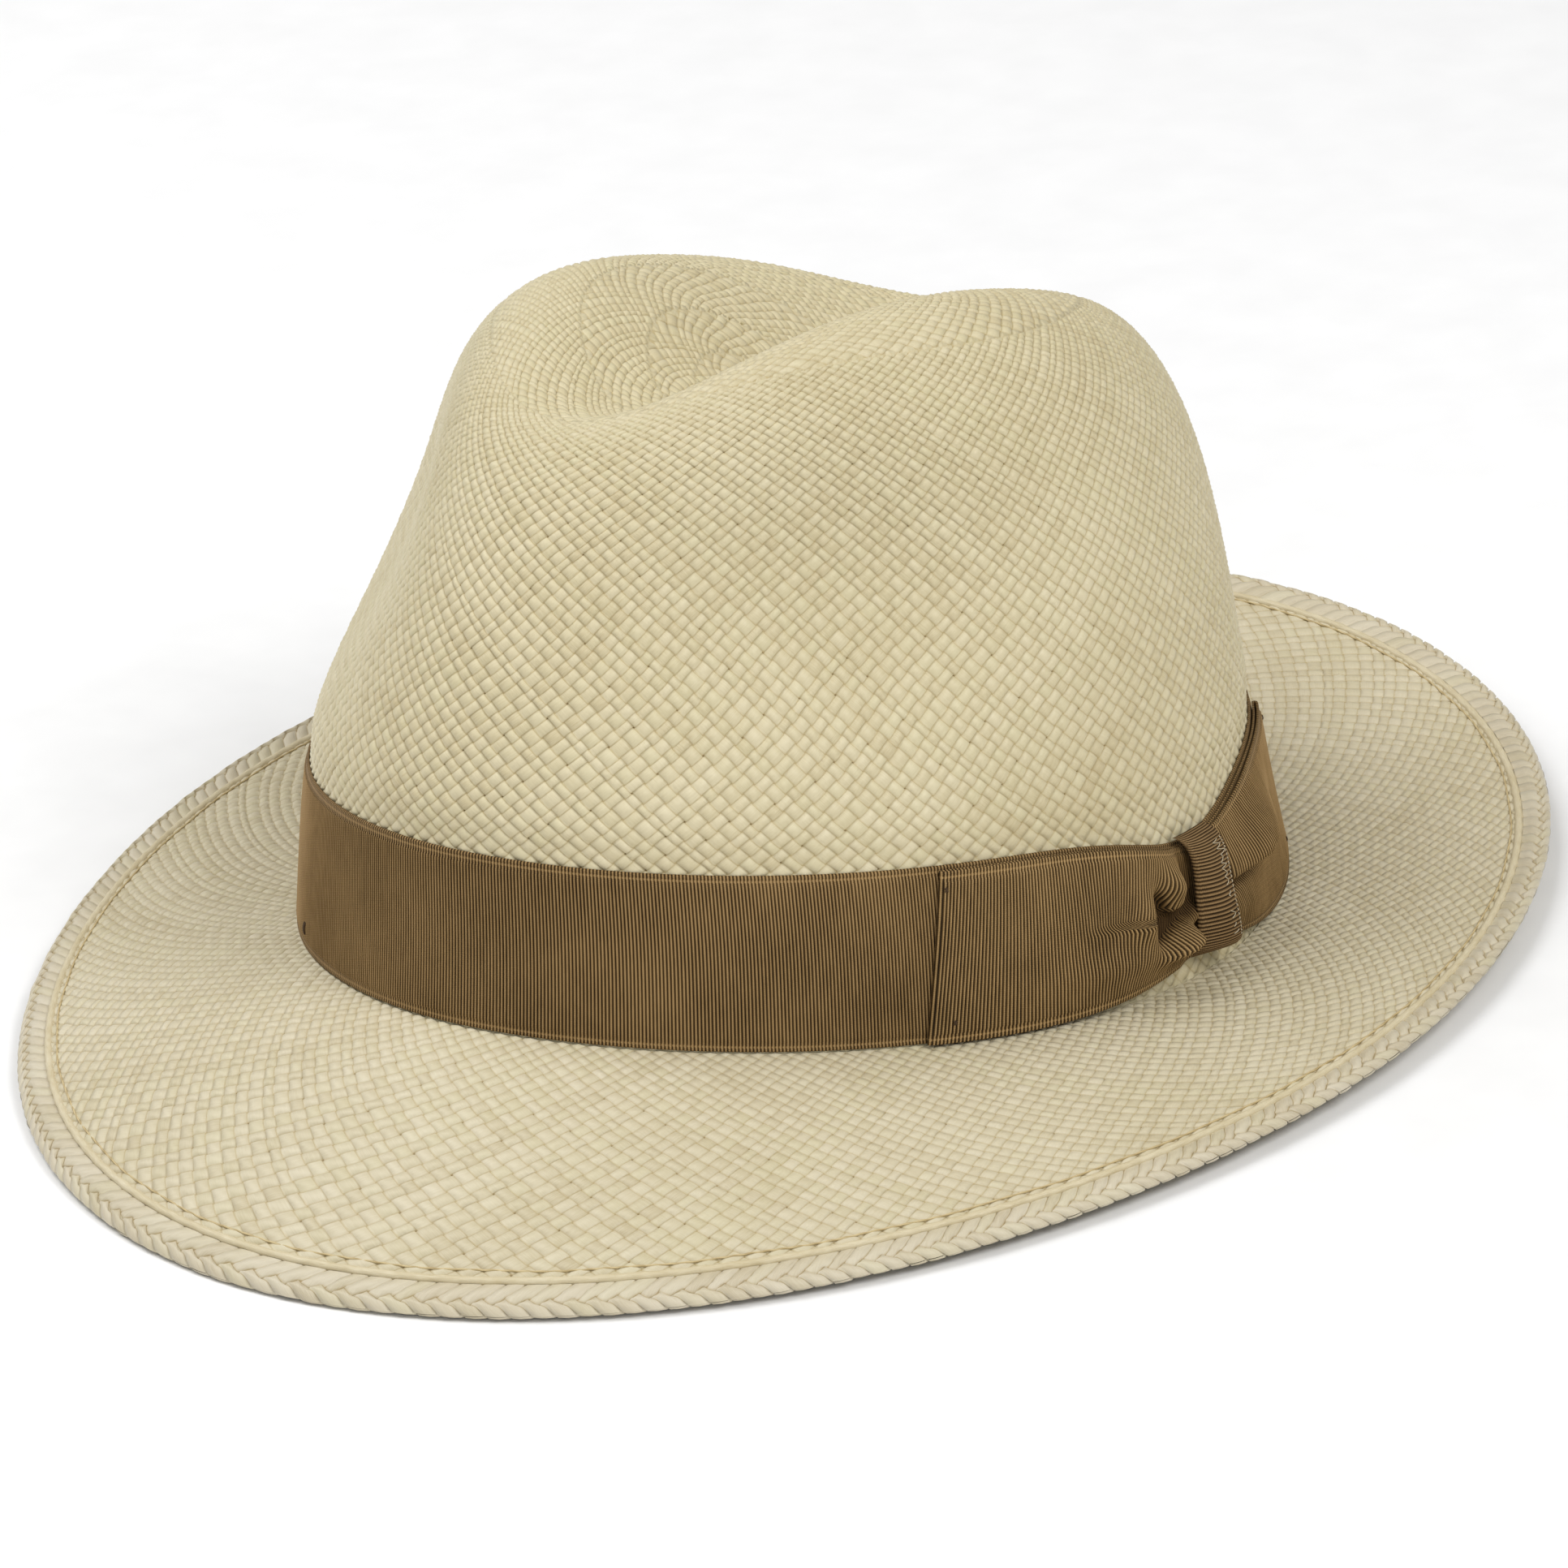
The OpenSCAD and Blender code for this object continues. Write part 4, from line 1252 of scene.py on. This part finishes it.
def sweatband_object():
    """The leather ring. A stitched groove runs near its lower edge, a seam at the back."""
    n = 720
    share = (np.arange(n) / n)[:, None]
    a = arc_angle(share)
    lo, hi = 2 * REED_R + 2 * GAP, SWEAT_H
    h = lo + (hi - lo) * np.array([[0, 0.01, 0.03, 0.08, 0.16, 0.3, 0.5, 0.7, 0.85, 0.95, 0.985, 1]])
    groove = -0.22 * bell((h - STITCH_H) / 0.5)
    wavy = 0.35 * ring_noise(9, 17)(share) * smooth((h - 10) / 20)
    seam = 0.35 * bell((a - math.pi) * 95 / 2.2)
    thin_edge = 0.25 * ((h <= lo + 0.05) | (h >= hi - 0.05))
    thick = SWEAT_T + groove + 0.1 * np.sin(np.pi * (h - lo) / (hi - lo)) - thin_edge
    outer = wall(a, h, SWEAT_OFF - 0.02)
    inner = wall(a, h, SWEAT_OFF - thick - np.abs(wavy) * 0.4 - seam * 0.6)
    P = np.concatenate([outer, inner[:, ::-1]], 1)
    g = Grid().add(seat(P), U=share, wrap_u=True, wrap_v=True)
    return g.build("sweatband_leather_ring", LEATHER, "sweatband_leather")


sweat = sweatband_object()
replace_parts(sweat, "sweatband")


def reed_object():
    n = 720
    path = wall(arc_angle(np.arange(n) / n), REED_R + GAP, SWEAT_OFF - REED_R)
    g = Grid().add(seat(tube_points(path, REED_R, 12)), wrap_u=True, wrap_v=True, flip=True)
    return g.build("sweatband_reed_piping", LEATHER, "sweatband_leather")


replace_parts(reed_object(), "sweatband_reed")


def sweat_stitches():
    """One row of stitches round the leather. Each covers most of its own step."""
    g = Grid()
    count, reach = 190, 0.36
    for k in range(count):
        s = np.linspace(-reach, reach, 7)
        lift = 0.25 * (1 - (s / reach) ** 4)
        path = wall(arc_angle((k + s) / count), STITCH_H, SWEAT_OFF - SWEAT_T + 0.12 - lift)
        capped_tube(g, path, 0.24)
    return g.build("sweatband_stitch_row", PALE_THREAD, "sweatband_thread")


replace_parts(sweat_stitches(), "sweatband_stitching")


def lining_bow():
    """A small flat bow over the leather's rear seam: two loops, and a knot across them."""
    g = Grid()
    back = SWEAT_OFF - SWEAT_T - GAP

    def add(top, low, across, flip):
        P = np.concatenate([top, low[:, ::-1]], 1)
        V = np.broadcast_to(np.concatenate([across, across[:, ::-1]], 1), P.shape[:2])
        g.add(seat(P), U=(np.arange(len(P)) / 4)[:, None], V=V, wrap_v=True, flip=flip)

    n, m = 61, 9
    f = np.linspace(0, 1, n)[:, None]
    v = np.linspace(-0.5, 0.5, m)[None]
    for side in (1, -1):
        a = np.radians(180 + side * (1.0 + 7.4 * f))
        h = 10 + v * (3.0 + 6.0 * np.sin(np.pi / 2 * f)) + 1.5 * f
        ribs = 0.05 * RIB_WAVE[np.arange(n) % 4][:, None]
        lift = 0.9 + 1.3 * np.sin(np.pi * f) ** 0.8 + 0.25 * np.cos(6 * v) * (1 - f)
        add(wall(a, h, back - lift - ribs), wall(a, h, back - 0.15), v * 9, side > 0)
    n = 33
    f = np.linspace(0, 1, n)[:, None]
    v = np.linspace(-1, 1, m)[None]
    a = np.radians(180 + 0.95 * v * (1 - 0.12 * np.sin(np.pi * f)))
    h = 7.6 + 4.8 * f
    lift = 1.2 + 1.2 * np.sin(np.pi * (0.12 + 0.76 * f)) + 0.2 * (1 - v * v)
    add(wall(a, h, back - lift), wall(a, h, back - 0.15), v, False)
    return g.build("sweatband_bow_ribbon", LINING_RIBBON, "sweatband_ribbon")


lining = lining_bow()
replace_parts(lining, "sweatband_bow")


# ---------------------------------------------------------------- floor, light, camera
def put(name, data, rows=None):
    """Add an object to the scene, with the rows of its matrix if it has a place of its own."""
    ob = bpy.data.objects.new(name, data)
    if rows is not None:
        ob.matrix_world = Matrix([[*row] for row in rows] + [[0, 0, 0, 1]])
    bpy.context.scene.collection.objects.link(ob)
    return ob


def floor():
    m = Mat("studio_paper")
    grain = m.noise(m.coords(), 60.0, 2.0)
    m.set(Base_Color=m.ramp(grain, [(0.3, (0.90, 0.90, 0.90, 1)), (0.7, (0.93, 0.93, 0.93, 1))]),
          Roughness=0.9, Specular_IOR_Level=0.1)
    s = 6.0
    me = bpy.data.meshes.new("studio_floor")
    me.from_pydata([(-s, -s, 0), (s, -s, 0), (s, s, 0), (-s, s, 0)], [], [(0, 1, 2, 3)])
    me.materials.append(m.m)
    ob = put("studio_floor", me)


floor()

# The camera's own angles and its distance in mm, in the head's frame, as fitted to the photograph.
CAM_AZ, CAM_EL, CAM_ROLL, CAM_DIST = rad(37.5), rad(22.377), rad(-2.679), 1799.0
CAM_LENS = 219.83                               # mm
CAM_PAN, CAM_RISE = -0.0002784, 0.009974        # tangents of two small turns


def camera():
    """The camera, turned with the hat onto the table. Returns its right and its backward axis."""
    back = np.array([math.sin(CAM_AZ) * math.cos(CAM_EL), -math.cos(CAM_AZ) * math.cos(CAM_EL),
                     math.sin(CAM_EL)])
    right = np.array([math.cos(CAM_AZ), math.sin(CAM_AZ), 0.0])
    up = np.cross(back, right)
    right, up = (right * math.cos(CAM_ROLL) + up * math.sin(CAM_ROLL),
                 up * math.cos(CAM_ROLL) - right * math.sin(CAM_ROLL))
    ahead = -back - right * CAM_PAN + up * CAM_RISE
    ahead /= np.linalg.norm(ahead)
    eye = seat(back * CAM_DIST)
    right = np.cross(ahead, up)
    right /= np.linalg.norm(right)
    origin = seat(np.zeros(3))
    axes = [seat(v * 1000) - origin for v in (right, np.cross(right, ahead), -ahead)]
    cam = bpy.data.cameras.new("photo_camera")
    cam.sensor_width = 36.0
    cam.lens = CAM_LENS
    cam.clip_end = 30
    bpy.context.scene.camera = put("photo_camera", cam, np.stack([*axes, eye], 1))
    return axes[0], axes[2]


def area(name, at, size, power):
    """A rectangular light at `at` that faces the hat."""
    light = bpy.data.lights.new(name, "AREA")
    light.shape, light.size, light.size_y = "RECTANGLE", *size
    light.energy = power
    back = at - np.array([0, 0, 0.05])
    back /= np.linalg.norm(back)
    right = np.cross((0, 0, 1), back)
    right /= np.linalg.norm(right)
    put(name, light, np.stack([right, np.cross(back, right), back, at], 1))


def at_height(z):
    return np.array([0, 0, z])


to_right, to_eye = camera()
area("key_soft", to_eye * 1.1 + to_right * 1.1 + at_height(1.2), (0.9, 0.9), 21.5)
area("top_soft", np.array([0.0, 0.1, 1.7]) - to_right * 0.8, (1.3, 1.3), 19)
area("front_low", to_eye * 1.7 + at_height(0.1), (1.2, 0.8), 4)
area("rim_back", -to_eye * 0.9 - to_right * 1.1 + at_height(1.1), (1.2, 0.8), 4.8)
world = bpy.data.worlds.new("studio_world")
bpy.context.scene.world = world
world.use_nodes = True
sky = world.node_tree.nodes["Background"]
sky.inputs["Color"].default_value = (1.0, 1.0, 1.0, 1)
sky.inputs["Strength"].default_value = 0.30
bpy.context.scene.view_settings.view_transform = "Standard"
bpy.context.scene.view_settings.look = "None"

bpy.context.view_layer.update()
